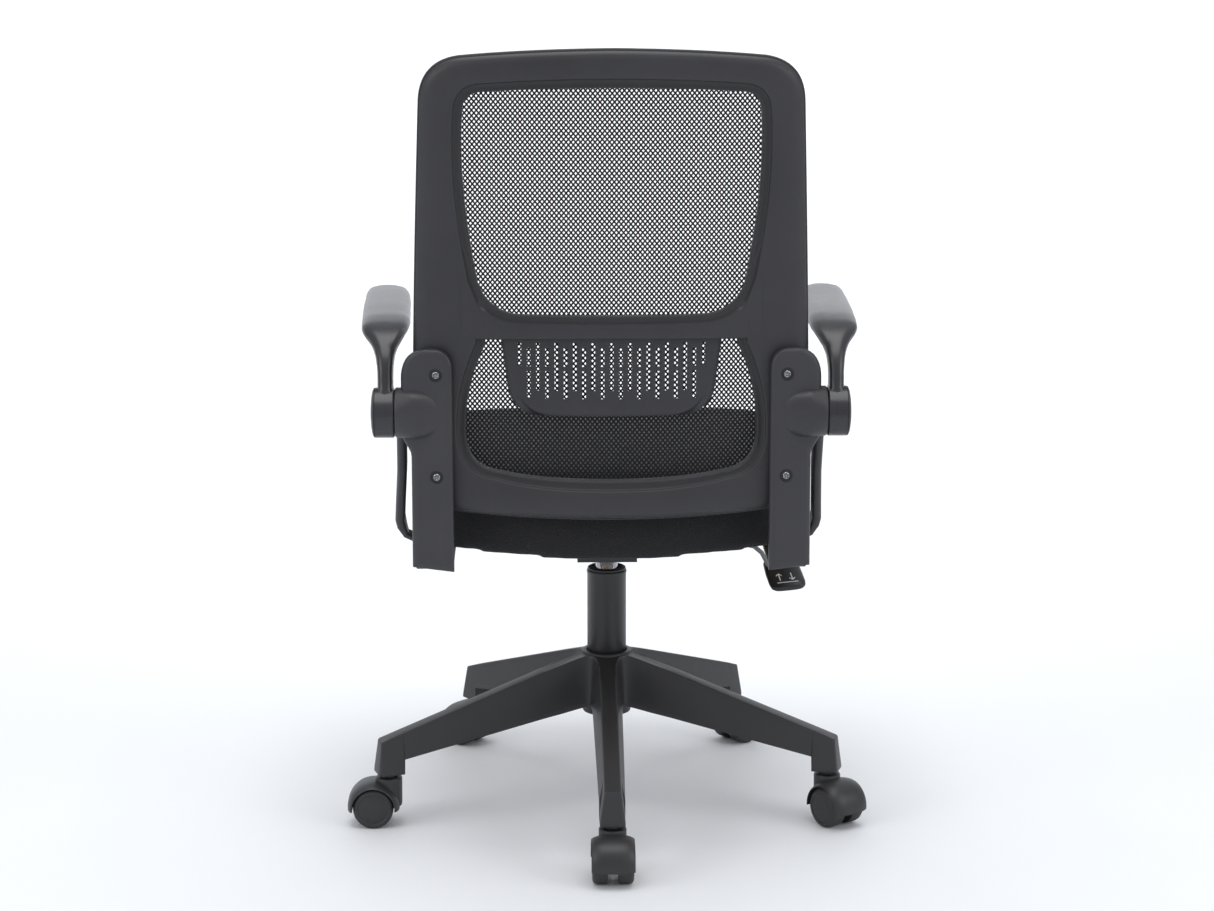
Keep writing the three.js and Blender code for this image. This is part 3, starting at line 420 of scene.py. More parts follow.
def turned(bm, profile, centre, axis, steps=64):
    """Spins [radius, distance along the axis] points about an axis through centre."""
    axis = Vector(axis).normalized()
    side = axis.orthogonal().normalized()
    verts = [bm.verts.new(Vector(centre) + side * radius + axis * run) for radius, run in profile]
    line = [bm.edges.new(pair) for pair in zip(verts, verts[1:])]
    bmesh.ops.spin(
        bm, geom=verts + line, cent=centre, axis=axis, angle=2 * math.pi, steps=steps, use_merge=True
    )


def millimetres(points):
    return [tuple(value * MM for value in point) for point in points]


def round_piece(profile, centre, axis, steps, name, body, finish, replaces=(), slot=None, sharp=40):
    """A whole piece from one profile in millimetres, spun and kept."""
    bm = bmesh.new()
    turned(bm, millimetres(profile), centre, axis, steps)
    return keep(bm, name, body, finish, replaces, slot, sharp)


def squircle(angle, power):
    """A point on a round whose sides flatten as power drops from 1."""
    c, s = math.cos(angle), math.sin(angle)
    return math.copysign(abs(c) ** power, c), math.copysign(abs(s) ** power, s)


def half_step_angles(count):
    return [(i + 0.5) / count * 2 * math.pi for i in range(count)]


def rounded_edges(piece, width, degrees):
    """A live bevel on every edge that turns by more than so many degrees."""
    edge_round = piece.modifiers.new("edge", "BEVEL")
    edge_round.width = width
    edge_round.segments = 2
    edge_round.limit_method = "ANGLE"
    edge_round.angle_limit = math.radians(degrees)


def rings(bm, places, loop=False, cap=True, closed=True):
    """Joins rows of points along a path: each row is extruded from the last and moved to its place."""
    verts = [bm.verts.new(place) for place in places[0]]
    start = 0 if closed else 1
    edges = [bm.edges.new((verts[i - 1], verts[i])) for i in range(start, len(verts))]
    first = edges
    following = places[1:] + ([places[0]] if loop else [])
    for ring in following:
        made = bmesh.ops.extrude_edge_only(bm, edges=edges)["geom"]
        fresh = {part for part in made if isinstance(part, bmesh.types.BMVert)}
        moved = []
        for vert in verts:
            moved.append(next(e.other_vert(vert) for e in vert.link_edges if e.other_vert(vert) in fresh))
        for vert, place in zip(moved, ring):
            vert.co = place
        verts = moved
        edges = [bm.edges.get((verts[i - 1], verts[i])) for i in range(start, len(verts))]
    if cap and closed and not loop:
        bmesh.ops.contextual_create(bm, geom=first)
        bmesh.ops.contextual_create(bm, geom=edges)


def bowed(start, middle, end, count):
    """Points on a quadratic curve, without its last one."""
    points = []
    for i in range(count):
        t = i / count
        points.append(Vector(start) * (1 - t) ** 2 + Vector(middle) * 2 * t * (1 - t) + Vector(end) * t * t)
    return points


def both_sides(half):
    """A closed outline from its right half: half runs from the top middle to the bottom middle."""
    return half + [Vector((-p.x, p.y)) for p in reversed(half[1:-1])]


# %% [markdown]
# ## The back frame
#
# The frame is one nylon moulding: a bent ring of wide, flat rails, with a crossbar between its two
# windows. Its rear face leans away above and below the waist and wraps a little round the sitter, and
# one function says where that face is. Two matched outlines, the outer edge and the opening, carry a
# section between them: the face rolls over at the outer edge, and a sunken band borders the opening.

# %% The curve of the back
frame_low, frame_high = box_of("back_frame")
LINE_SETBACK = 252 * MM
LINE_HEIGHT = 540 * MM
LINE_CURVE = 0.22
WRAP_RADIUS = 1.06
HALF_WIDTH = frame_high.x
FRAME_TOP = frame_high.z
FRAME_BOTTOM = frame_low.z
TOP_HALF_WIDTH = HALF_WIDTH - 12 * MM
RAIL = 64 * MM
RAIL_DEPTH = 22 * MM
CROSSBAR_BOTTOM = 649 * MM
CROSSBAR_TOP = 678 * MM


def on_back(x, z, forward=0.0):
    """A point on the back's rear face, or that far forward of it."""
    line = x * x / (2 * WRAP_RADIUS) - LINE_SETBACK - LINE_CURVE * (z - LINE_HEIGHT) ** 2
    return Vector((x, COLUMN_Y + line + forward, z))


def outer_outline(inset=0.0):
    """The frame's outer edge, as (x, z) points in an even number per stretch."""
    top, bottom = FRAME_TOP - inset, FRAME_BOTTOM + inset
    wide, crown = HALF_WIDTH - inset, TOP_HALF_WIDTH - inset
    waist = bottom + (top - bottom) * 0.42
    half = bowed((0, top), (crown * 0.45, top - MM), (crown - 47 * MM, top - 9 * MM), 12)
    half += bowed((crown - 47 * MM, top - 9 * MM), (crown - 3 * MM, top - 16 * MM),
                  (crown, top - 61 * MM), 14)
    half += bowed((crown, top - 61 * MM), (wide, waist), (wide, bottom + 100 * MM), 30)
    half += bowed((wide, bottom + 100 * MM), (wide, bottom + 13 * MM), (wide - 51 * MM, bottom + 8 * MM), 14)
    half += bowed((wide - 51 * MM, bottom + 8 * MM), ((wide - 51 * MM) / 2, bottom), (0, bottom), 12)
    return both_sides(half + [Vector((0, bottom))])


def opening_outline(inset=0.0):
    """The opening inside the rails, in the same number of points as the outer edge."""
    wide = HALF_WIDTH - RAIL - inset
    top, bottom = FRAME_TOP - 44 * MM - inset, FRAME_BOTTOM + 46 * MM + inset
    shoulder, hip = CROSSBAR_TOP + 26 * MM, CROSSBAR_BOTTOM - 6 * MM
    crest = wide + 2 * MM
    half = bowed((0, top), (wide * 0.5, top), (crest - 21 * MM, top - 5 * MM), 12)
    half += bowed((crest - 21 * MM, top - 5 * MM), (crest, top - 8 * MM), (crest, top - 30 * MM), 14)
    half += bowed((crest, top - 30 * MM), (crest + 7 * MM, top - 120 * MM), (wide - 16 * MM, shoulder), 14)
    half += bowed((wide - 16 * MM, shoulder), (wide - 24 * MM, (shoulder + hip) / 2), (wide - 22 * MM, hip), 4)
    half += bowed((wide - 22 * MM, hip), (wide + 4 * MM, hip - 54 * MM), (wide + 2 * MM, bottom + 54 * MM), 12)
    half += bowed((wide + 2 * MM, bottom + 54 * MM), (wide, bottom + 14 * MM), (wide - 40 * MM, bottom + 10 * MM), 14)
    half += bowed((wide - 40 * MM, bottom + 10 * MM), (wide * 0.5, bottom), (0, bottom), 12)
    return both_sides(half + [Vector((0, bottom))])


# %% Rails of the back frame
# Each stop of the section: how far in from the outer edge or out from the opening, and how far forward.
ROLLED_EDGE = [(0.0, 21.5), (0.0, 12.0), (0.8, 8.0), (2.6, 5.0), (6.0, 2.6), (11.0, 1.1), (18.0, 0.3), (25.0, 0.0)]
SUNKEN_BAND = [(12.9, 0.0), (11.8, 0.3), (11.0, 1.2), (10.4, 4.0), (9.4, 5.0), (3.4, 5.2), (2.4, 4.6), (0.9, 4.6),
               (0.2, 5.2), (0.0, 6.4), (0.0, 21.5)]


def rail_section(outer, inner):
    """One section across a rail, from its outer edge to the opening."""
    across = inner - outer
    way = across.normalized()
    section = []
    for distance, forward in ROLLED_EDGE:
        at = outer + way * distance * MM
        section.append(on_back(at.x, at.y, forward * MM))
    for distance, forward in SUNKEN_BAND:
        at = inner - way * distance * MM
        section.append(on_back(at.x, at.y, forward * MM))
    return section


rails = bmesh.new()
sections = [rail_section(outer, inner) for outer, inner in zip(outer_outline(), opening_outline())]
rings(rails, sections, loop=True)

# %% [markdown]
# The crossbar's upper edge is the floor of the upper window, so it sweeps up into the rails at both
# ends. It is drawn as upright sections from left to right, each with its own height, and sunken bands
# follow both edges. It shares the frame's piece, because the real one is moulded in one with it.

# %% Crossbar
CROSSBAR_REACH = HALF_WIDTH - RAIL + 6 * MM
SWEEP_START = HALF_WIDTH - RAIL - 62 * MM
SWEEP_RADIUS = 50 * MM
STEEPEST = 0.93

def crossbar_edges(x):
    """The crossbar's lower and upper edge at x, and how steeply the upper one climbs there."""
    reach = min(abs(x) / CROSSBAR_REACH, 1.0)
    turn = max(0.0, abs(x) - SWEEP_START) / SWEEP_RADIUS
    steep = min(turn, STEEPEST)
    climb = 1 - math.sqrt(1 - steep * steep)
    slope = steep / math.sqrt(1 - steep * steep)
    top = CROSSBAR_TOP + 4 * MM * reach ** 2 + SWEEP_RADIUS * (climb + (turn - steep) * slope)
    return CROSSBAR_BOTTOM + 2 * MM * (1 - reach), top, slope


def crossbar_section(x):
    low, high, slope = crossbar_edges(x)
    along = math.sqrt(1 + slope * slope) * MM
    stops = [(low, 10), (low, 3.0), (low + 0.5 * MM, 1.4), (low + 1.6 * MM, 0.5), (low + 4 * MM, 0.1),
             (high - 13 * along, 0.1), (high - 10.4 * along, 0.4), (high - 9.6 * along, 2.2),
             (high - 8.8 * along, 3.8), (high - 2 * along, 4.2), (high - 0.7 * along, 4.6), (high, 5.4), (high, 12)]
    return [on_back(x, z, forward * MM) for z, forward in stops]


CROSSBAR_STEPS = 96
stations = [CROSSBAR_REACH * (2 * i / CROSSBAR_STEPS - 1) for i in range(CROSSBAR_STEPS + 1)]
rings(rails, [crossbar_section(x) for x in stations])
back_frame = keep(rails, "back_frame_shell", "seat", nylon, ["back_frame"], "black_nylon", sharp=50)
# The floor of the sunken bands gets the darker nylon, as painted shade of the recess.
back_frame.data.materials.append(band_nylon_painted_shade)
for face in back_frame.data.polygons:
    depth = face.center.y - on_back(face.center.x, face.center.z).y
    if 2.4 * MM < depth < 6 * MM and face.normal.y < -0.8:
        face.material_index = 1

# %% [markdown]
# ## The mesh of the back
#
# The mesh is one piece of knitted net stretched over the front of the frame. A flat grid turned by
# forty-five degrees and squeezed makes a lattice of diamonds. Insetting every diamond and deleting
# what is inside leaves the strands with real holes between them. The net is then trimmed to the
# frame and laid on its curve. A dense knitted border, sewn to it, wraps round the frame's edge.

# %% Net
NET_ACROSS = 5.6 * MM
NET_ALONG = 6.7 * MM
STRAND = 1.02 * MM
NET_FORWARD = RAIL_DEPTH + 1.9 * MM
BORDER = 13 * MM


def inside(x, z, outline):
    """Whether a point is inside a closed outline."""
    hit = False
    for a, b in zip(outline, outline[1:] + outline[:1]):
        if (a.y > z) != (b.y > z) and x < a.x + (z - a.y) / (b.y - a.y) * (b.x - a.x):
            hit = not hit
    return hit


net = bmesh.new()
height = FRAME_TOP - FRAME_BOTTOM
cells = math.ceil(2 * HALF_WIDTH / NET_ACROSS + height / NET_ALONG) + 4
bmesh.ops.create_grid(net, x_segments=cells, y_segments=cells, size=cells / 2)
bmesh.ops.rotate(net, verts=net.verts, matrix=Matrix.Rotation(math.radians(45), 3, "Z"))
squeeze = Vector((NET_ACROSS / math.sqrt(2), NET_ALONG / math.sqrt(2), 1))
bmesh.ops.scale(net, verts=net.verts, vec=squeeze)
middle = (FRAME_TOP + FRAME_BOTTOM) / 2
bmesh.ops.translate(net, verts=net.verts, vec=(0, middle, 0))
trim = outer_outline(BORDER * 0.55)
spare = [v for v in net.verts if not inside(v.co.x, v.co.y, trim)]
bmesh.ops.delete(net, geom=spare, context="VERTS")
holes = list(net.faces)
bmesh.ops.inset_individual(net, faces=holes, thickness=STRAND, use_even_offset=True)
bmesh.ops.delete(net, geom=holes, context="FACES")
for vert in net.verts:
    vert.co = on_back(vert.co.x, vert.co.y, NET_FORWARD)
strand_area = sum(face.calc_area() for face in net.faces)
net_piece = keep(net, "back_net", "seat", net_yarn, ["back_mesh"], "back_fabric", clean=False)
print("net: strands cover", round(strand_area, 3), "m2 of", round(2 * HALF_WIDTH * height, 3))

# %% Knitted border
border = bmesh.new()
WRAP = [(BORDER, 24.5), (BORDER * 0.4, 24.9), (0.0, 24.0), (-1.4 * MM, 22.0), (-1.5 * MM, 14.0), (-1.0 * MM, 9.5),
        (0.5 * MM, 8.2), (0.6 * MM, 9.2), (0.4 * MM, 14.0), (0.4 * MM, 22.4), (BORDER * 0.4, 23.4), (BORDER, 23.6)]
outlines = [outer_outline(inset) for inset, _ in WRAP]
border_sections = []
for i in range(len(outlines[0])):
    stops = zip(outlines, WRAP)
    border_sections.append([on_back(line[i].x, line[i].y, forward * MM) for line, (_, forward) in stops])
rings(border, border_sections, loop=True)
border_piece = keep(border, "back_net_border", "seat", border_knit, slot="back_fabric", sharp=70)

# %% [markdown]
# ## The lumbar plate
#
# The lumbar plate hangs from the crossbar inside the lower window. It is a thin moulding with rows of
# slots, two short ones in one column and a long one in the next. A grid whose lines fall on the slots'
# edges makes them with no cutting: faces inside a slot are deleted, and Solidify gives the wall.

# %% Lumbar plate
LUMBAR_TOP, LUMBAR_BOTTOM, LUMBAR_HALF = 666 * MM, 556 * MM, 133 * MM
SLOT_COLUMNS, SLOT_PITCH, SLOT_WIDTH = 21, 10.9 * MM, 4.6 * MM
SLOT_TOP = 645 * MM
LUMBAR_WALL = 3 * MM
CORNER_RISE = 35 * MM


def slot_x(column):
    return (column - (SLOT_COLUMNS - 1) / 2) * SLOT_PITCH


def slot_spans(column):
    """The (top, bottom) heights of the slots in one column."""
    if column in (0, SLOT_COLUMNS - 1):
        return [(SLOT_TOP, SLOT_TOP - 28 * MM)]
    if column % 2 == 0:
        return [(SLOT_TOP, SLOT_TOP - 58 * MM)]
    return [(SLOT_TOP - 6 * MM, SLOT_TOP - 29 * MM), (SLOT_TOP - 34 * MM, SLOT_TOP - 68 * MM)]


def plate_half_width(z):
    """Half the plate's width at a height: straight flanks, then round lower corners."""
    rise = z - LUMBAR_BOTTOM
    flank = LUMBAR_HALF - 10 * MM * (LUMBAR_TOP - z) / (LUMBAR_TOP - LUMBAR_BOTTOM - CORNER_RISE)
    if rise >= CORNER_RISE:
        return flank
    turn = math.sqrt(max(0.0, 1 - (1 - rise / CORNER_RISE) ** 2.4))
    return flank - 38 * MM * (1 - turn)


RIM_SHARES = [0.93, 0.965, 1.0]
slot_sides = [slot_x(column) + half for column in range(SLOT_COLUMNS) for half in (-SLOT_WIDTH / 2, SLOT_WIDTH / 2)]
across = [-share for share in reversed(RIM_SHARES)] + slot_sides + RIM_SHARES
corner_rows = [LUMBAR_BOTTOM + CORNER_RISE * (1 - math.cos(math.radians(9) * i)) for i in range(11)]
slot_rows = [z for column in range(3) for span in slot_spans(column) for z in span]
heights = sorted({round(z, 5) for z in corner_rows + slot_rows + [LUMBAR_TOP, LUMBAR_TOP - 6 * MM]})
plate = bmesh.new()
bmesh.ops.create_grid(plate, x_segments=len(across) - 1, y_segments=len(heights) - 1, size=0.5)
for vert in plate.verts:
    i = round((vert.co.x + 0.5) * (len(across) - 1))
    z = heights[round((vert.co.y + 0.5) * (len(heights) - 1))]
    edge = plate_half_width(z)
    x = across[i] * edge if abs(across[i]) > 0.5 else across[i] * min(1.0, edge / (117 * MM))
    vert.co = (x, z, 0)


def in_slot(face):
    middle = face.calc_center_median()
    for column in range(SLOT_COLUMNS):
        if abs(middle.x - slot_x(column)) < SLOT_WIDTH * 0.45:
            return any(low < middle.y < high for high, low in slot_spans(column))
    return False


bmesh.ops.delete(plate, geom=[face for face in plate.faces if in_slot(face)], context="FACES")
for vert in plate.verts:
    rim = abs(vert.co.x) / max(plate_half_width(vert.co.y), MM)
    roll = 3.5 * MM * max(0.0, (rim - 0.9) / 0.1) ** 2
    foot = 3.0 * MM * max(0.0, 1 - (vert.co.y - LUMBAR_BOTTOM) / (9 * MM)) ** 2
    vert.co = on_back(vert.co.x, vert.co.y, 11.6 * MM + roll + foot - 2.5 * MM * (1 - rim * rim))
lumbar_piece = keep(plate, "lumbar_plate_shell", "seat", nylon, ["lumbar_plate"], "black_nylon", sharp=60)
wall = lumbar_piece.modifiers.new("wall", "SOLIDIFY")
wall.thickness = LUMBAR_WALL
wall.offset = 1 if lumbar_piece.data.polygons[0].normal.y > 0 else -1
rounded_edges(lumbar_piece, 0.7 * MM, 60)

# %% [markdown]
# ## The seat cushion
#
# The cushion is foam under a knitted cover. Rings of its outline, stacked from the board up and then in
# over the crowned top, make a closed form a little smaller than the real one. Cloth with some pressure
# inside then fills it out, so that the sides belly between the seams, and a cap keeps it in its place.

# %% Cushion form
seat_low, seat_high = box_of("seat_cushion")
SEAT_HALF = seat_high.x
SEAT_WAIST = 14 * MM
SEAT_CORNER = 62 * MM
BOARD_INSET = 18 * MM


def wrap(x):
    return x * x / (2 * WRAP_RADIUS)


def seat_outline(inset):
    """The seat seen from above, drawn in from its edge, as (x, y) points."""
    wide, narrow = SEAT_HALF - inset, SEAT_HALF - SEAT_WAIST - inset
    front, rear = seat_high.y - inset, seat_low.y - MM + inset
    corner = SEAT_CORNER - inset / 2
    waist, widest = COLUMN_Y - 70 * MM, COLUMN_Y + 40 * MM
    heel = rear + wrap(narrow)
    half = bowed((0, front), ((wide - corner) * 0.6, front), (wide - corner, front - 6 * MM), 14)
    half += bowed((wide - corner, front - 6 * MM), (wide - 4 * MM, front - 8 * MM),
                  (wide, front - corner - 10 * MM), 12)
    half += bowed((wide, front - corner - 10 * MM), (wide + MM, widest + 60 * MM), (wide, widest), 10)
    half += bowed((wide, widest), (wide - 2 * MM, waist + 40 * MM), (narrow, waist), 8)
    half += bowed((narrow, waist), (narrow, waist - 20 * MM), (narrow, heel + corner), 6)
    half += bowed((narrow, heel + corner), (narrow, heel + 4 * MM),
                  (narrow - corner, rear + wrap(narrow - corner) + 3 * MM), 12)
    half += bowed((narrow - corner, rear + wrap(narrow - corner) + 3 * MM),
                  ((narrow - corner) / 2, rear + MM), (0, rear + MM), 14)
    return both_sides(half + [Vector((0, rear + MM))])


def seat_ring(inset, z, shrink=1.0, dome=0.0, sag=0.0):
    """The outline at a height: shrink draws it in, dome lifts its middle and sag lowers its back edge."""
    middle_y = (seat_low.y + seat_high.y) / 2
    half_depth = (seat_high.y - seat_low.y) / 2
    ring = []
    for point in seat_outline(inset):
        x, y = point.x * shrink, middle_y + (point.y - middle_y) * shrink
        fall = -dome * max(0.0, 1 - (x / SEAT_HALF) ** 2)
        fall += sag * max(0.0, (middle_y - y) / half_depth) ** 6 * max(0.0, 1 - (x / (190 * MM)) ** 2)
        ring.append(Vector((x, y, z - fall)))
    return ring


TOP = seat_high.z - 1.5 * MM
BOTTOM = seat_low.z
SAG = 15 * MM
DOME = 8 * MM
stack = [seat_ring(BOARD_INSET, BOTTOM + 12 * MM), seat_ring(BOARD_INSET - MM, BOTTOM + 2 * MM),
         seat_ring(11 * MM, BOTTOM + 1.5 * MM, sag=SAG), seat_ring(6 * MM, BOTTOM + 5 * MM, sag=SAG),
         seat_ring(3.5 * MM, BOTTOM + 14 * MM, sag=SAG / 2), seat_ring(2.5 * MM, (TOP + BOTTOM) / 2),
         seat_ring(4 * MM, TOP - 24 * MM, dome=DOME / 3), seat_ring(8 * MM, TOP - 13 * MM, dome=DOME / 2),
         seat_ring(17 * MM, TOP - 5.5 * MM, dome=DOME * 0.8), seat_ring(30 * MM, TOP - 2.5 * MM, dome=DOME)]
for shrink in (0.84, 0.7, 0.5, 0.3, 0.1):
    stack.append(seat_ring(12 * MM, TOP - 1.5 * MM, shrink, dome=DOME))
form = bmesh.new()
rings(form, stack)
bmesh.ops.recalc_face_normals(form, faces=form.faces)
print("cushion form:", len(form.faces), "faces")

# %% Fill the cushion out with cloth


def settled(source, voxel, pressure, cap, frames=20):
    """A bmesh filled out as cloth under pressure, each point moved no further than cap."""
    mesh = bpy.data.meshes.new("filling")
    source.to_mesh(mesh)
    source.free()
    dummy = bpy.data.objects.new("filling", mesh)
    scene.collection.objects.link(dummy)
    remesh = dummy.modifiers.new("voxels", "REMESH")
    remesh.mode = "VOXEL"
    remesh.voxel_size = voxel
    even = bpy.data.meshes.new_from_object(dummy.evaluated_get(bpy.context.evaluated_depsgraph_get()))
    dummy.modifiers.clear()
    dummy.data = even
    start = [v.co.copy() for v in even.vertices]
    cloth = dummy.modifiers.new("cloth", "CLOTH")
    cloth.settings.use_pressure = True
    cloth.settings.uniform_pressure_force = pressure
    cloth.settings.effector_weights.gravity = 0
    cloth.settings.tension_stiffness = 12
    for number in range(1, frames + 1):
        scene.frame_set(number)
    moved = bpy.data.meshes.new_from_object(dummy.evaluated_get(bpy.context.evaluated_depsgraph_get()))
    dummy.modifiers.clear()
    for vertex, rest, now in zip(even.vertices, start, moved.vertices):
        step = now.co - rest
        vertex.co = rest + step * min(1.0, cap / max(step.length, 1e-9))
    scene.frame_set(1)
    result = bmesh.new()
    result.from_mesh(even)
    bpy.data.objects.remove(dummy)
    for _ in range(4):
        bmesh.ops.smooth_vert(result, verts=result.verts, factor=0.5, use_axis_x=True, use_axis_y=True,
                              use_axis_z=True)
    return result


filled = settled(form, 6 * MM, 4.0, 3 * MM)
cushion = keep(filled, "cushion_cover", "seat", seat_knit, ["seat_cushion"], "seat_fabric", sharp=80)
soften = cushion.modifiers.new("soften", "SUBSURF")
soften.levels = soften.render_levels = 1

# %% Piping along the cushion's top seam
skin = bmesh.new()
skin.from_mesh(cushion.data)
surface = BVHTree.FromBMesh(skin)
skin.free()
PIPING_RADIUS = 1.7 * MM
sections = []
for point in seat_ring(0, TOP - 13 * MM, dome=DOME / 2):
    place, normal, _, _ = surface.find_nearest(point)
    flat = Vector((normal.x, normal.y, 0)).normalized()
    centre = place + normal * PIPING_RADIUS * 0.3
    angles = [math.radians(45 * i) for i in range(8)]
    sections.append([centre + (flat * math.cos(a) + Vector((0, 0, math.sin(a)))) * PIPING_RADIUS for a in angles])
piping = bmesh.new()
rings(piping, sections, loop=True)
keep(piping, "cushion_piping", "seat", border_knit, slot="seat_fabric", sharp=80)

# %% [markdown]
# ## Armrests
#
# Each armrest is one moulding: a flat, wide pad that narrows at its back end into a slim neck, which
# drops into a round hub. Oval rings along that path, finished with Subdivision Surface, give the flow
# from pad to neck. The hub is spun, and its outer end is closed by a slightly domed cap.

# %% Armrest
cap_low, cap_high = box_of("arm_pivot_cap_right")
HUB_RADIUS = (cap_high.z - cap_low.z) / 2
HUB_OUTER = cap_low.x + 3.5 * MM
HUB_INNER = HUB_OUTER - 23 * MM
NECK_HALF = 9.3 * MM
PAD_HALF = 28.5 * MM
PAD_RISE = 9.5 * MM
arm_high = box_of("armrest_right")[1]
PAD_MIDDLE = arm_high.z - PAD_RISE
PAD_FRONT = arm_high.y


def oval(centre, half_width, half_depth, lean, count=16, squareness=0.72):
    """A rounded ring across a path that leans forward by lean degrees from upright."""
    c, s = math.cos(math.radians(lean)), math.sin(math.radians(lean))
    points = []
    for angle in half_step_angles(count):
        u, v = squircle(angle, squareness)
        points.append(Vector(centre) + Vector((u * half_width, v * half_depth * c, -v * half_depth * s)))
    return points


def mirrored_for(bm, side):
    """Mirrors a right-hand piece to the left where side is -1."""
    if side < 0:
        bmesh.ops.scale(bm, verts=bm.verts, vec=(-1, 1, 1))


def armrest(side, name, body):
    neck_x = HUB_INNER + NECK_HALF + MM
    pivot_y, pivot_z = arm_pivot.y, arm_pivot.z
    neck, pad = neck_x / MM, neck_x / MM + 4.5
    half, rise = PAD_HALF / MM, PAD_RISE / MM
    rear, pivot, middle, front = pivot_y / MM, pivot_z / MM, PAD_MIDDLE / MM, PAD_FRONT / MM
    thin = NECK_HALF / MM
    # Each row: place across, along and up, half the width, half the thickness, and how far it leans.
    rows = [
        (neck, rear + 3, pivot + 14, thin, 18, 0),
        (neck, rear + 4, pivot + 30, thin, 16, 5),
        (neck, rear + 6, pivot + 46, thin, 14.5, 12),
        (neck + 0.3, rear + 12, pivot + 60, thin + 1.2, 13.5, 22),
        (neck + 0.6, rear + 20, middle - 25, half * 0.47, 12, 32),
        (neck + 1.2, rear + 31, middle - 16, half * 0.66, 11, 44),
        (pad - 2, rear + 45, middle - 8.5, half * 0.88, 10, 56),
        (pad - 2.5, rear + 63, middle - 4, half * 0.98, 9.7, 69),
        (pad - 2, rear + 95, middle - 0.8, half, rise, 83),
        (pad + 1, rear + 170, middle, half, rise, 90),
        (pad + 4, front - 60, middle, half - 1, rise, 90),
        (pad + 6, front - 24, middle, half - 3, rise - 0.3, 90),
        (pad + 7, front - 8, middle, half - 7, rise - 1.2, 90),
        (pad + 7.5, front - 1, middle, half - 13, rise - 3.5, 90),
    ]
    bm = bmesh.new()
    rings(bm, [oval(Vector((x, y, z)) * MM, wide * MM, deep * MM, lean) for x, y, z, wide, deep, lean in rows])
    bmesh.ops.subdivide_edges(bm, edges=bm.edges, cuts=1, use_grid_fill=True, smooth=1.0)
    rim = HUB_RADIUS / MM
    hub = [(5.4, 0), (rim - 1.2, 0), (rim, 1.2), (rim, 22.4), (rim - 0.8, 23.1), (5.4, 23.1)]
    turned(bm, millimetres(hub), (HUB_INNER, pivot_y, pivot_z), (1, 0, 0), 72)
    mirrored_for(bm, side)
    keep(bm, name, body, arm_plastic, [f"armrest_{name.split('_')[1]}"], "arm_plastic", sharp=42)


def pivot_cap(side, name, body):
    rim = HUB_RADIUS / MM
    dome = [(0, 4.2), (10, 4), (20, 3.1), (26, 2), (rim - 1.4, 0.9), (rim - 0.4, 0.2), (rim - 0.4, -0.6), (0, -0.6)]
    bm = bmesh.new()
    turned(bm, millimetres(dome), (HUB_OUTER + 0.8 * MM, arm_pivot.y, arm_pivot.z), (1, 0, 0), 72)
    mirrored_for(bm, side)
    keep(bm, name, body, nylon, [f"arm_pivot_cap_{name.split('_')[1]}"], "black_nylon", sharp=32)


for side, label in ((1, "right"), (-1, "left")):
    armrest(side, f"armrest_{label}_shell", f"arm_{label}")
    pivot_cap(side, f"cap_{label}_dome", f"arm_{label}")

# %% [markdown]
# ## Arm brackets
#
# A bracket is a long plate that laps the rail's rear face. It carries the fixed half of the hub, whose
# inner end is a rounded nose that sinks into the plate. A strap runs down from the hub and curls in
# under the seat, where a foot is screwed to the board. The plate is drawn as level sections from its
# foot to its round top, with edges that roll over.

# %% Bracket plate
bracket_low, bracket_high = box_of("arm_bracket_right")
PLATE_INNER, SEAM = bracket_low.x, bracket_high.x
PLATE_OUTER = HALF_WIDTH + 3 * MM
TAB = 11.5 * MM
PLATE_TOP, PLATE_FOOT = bracket_high.z, 369.5 * MM
PLATE_REAR = -13.5 * MM
PLATE_THICK = 12 * MM
CREST = PLATE_INNER + 24 * MM
INNER_CURVE, OUTER_CURVE = 26 * MM, 37.5 * MM
FOOT_SKEW = 0.08
PLATE_ROLL = [(0.0, 12.0), (0.0, 5.5), (0.6, 3.2), (1.8, 1.5), (4.0, 0.5), (8.0, 0.1), (14.0, 0.0)]


def plate_edges(z):
    """The plate's inner and outer edge at a height."""
    inner = PLATE_INNER
    if z > PLATE_TOP - INNER_CURVE:
        inner += (CREST - PLATE_INNER) * (1 - math.sqrt(max(0, PLATE_TOP - z) / INNER_CURVE)) ** 2
    widening = min(1.0, max(0.0, (z - (arm_pivot.z - 50 * MM)) / (26 * MM)))
    outer = PLATE_OUTER + TAB * widening * widening * (3 - 2 * widening)
    if z > PLATE_TOP - OUTER_CURVE:
        full = PLATE_OUTER + TAB - CREST
        outer -= full * (1 - math.sqrt(max(0, PLATE_TOP - z) / OUTER_CURVE)) ** 2
    return inner, outer


def plate_section(z, lift=0.0):
    inner, outer = plate_edges(z)
    reach = min(1.0, (outer - inner) / (30 * MM))
    section = [(inner + distance * MM * reach, forward) for distance, forward in PLATE_ROLL]
    section += [(outer - distance * MM * reach, forward) for distance, forward in reversed(PLATE_ROLL)]
    skew = FOOT_SKEW * max(0.0, 1 - (z - PLATE_FOOT) / (60 * MM))
    return [on_back(x, z + skew * (x - PLATE_INNER), PLATE_REAR + max(forward * MM, lift)) for x, forward in section]


def bracket_plate(bm):
    top_stops = [(0.1, 5.6), (0.5, 3.6), (1.4, 2.0), (3.0, 0.9), (6.0, 0.3), (10.0, 0.0)]
    foot_stops = [(0.0, 5.0), (0.6, 3.0), (2.0, 1.2), (4.5, 0.3)]
    places = [(PLATE_FOOT + rise * MM, lift * MM) for rise, lift in foot_stops]
    low, high = PLATE_FOOT + 9 * MM, PLATE_TOP - 14 * MM
    places += [(low + (high - low) * i / 44, 0.0) for i in range(45)]
    places += [(PLATE_TOP - drop * MM, lift * MM) for drop, lift in reversed(top_stops)]
    rings(bm, [plate_section(z, lift) for z, lift in places])


# %% Fixed half of the hub


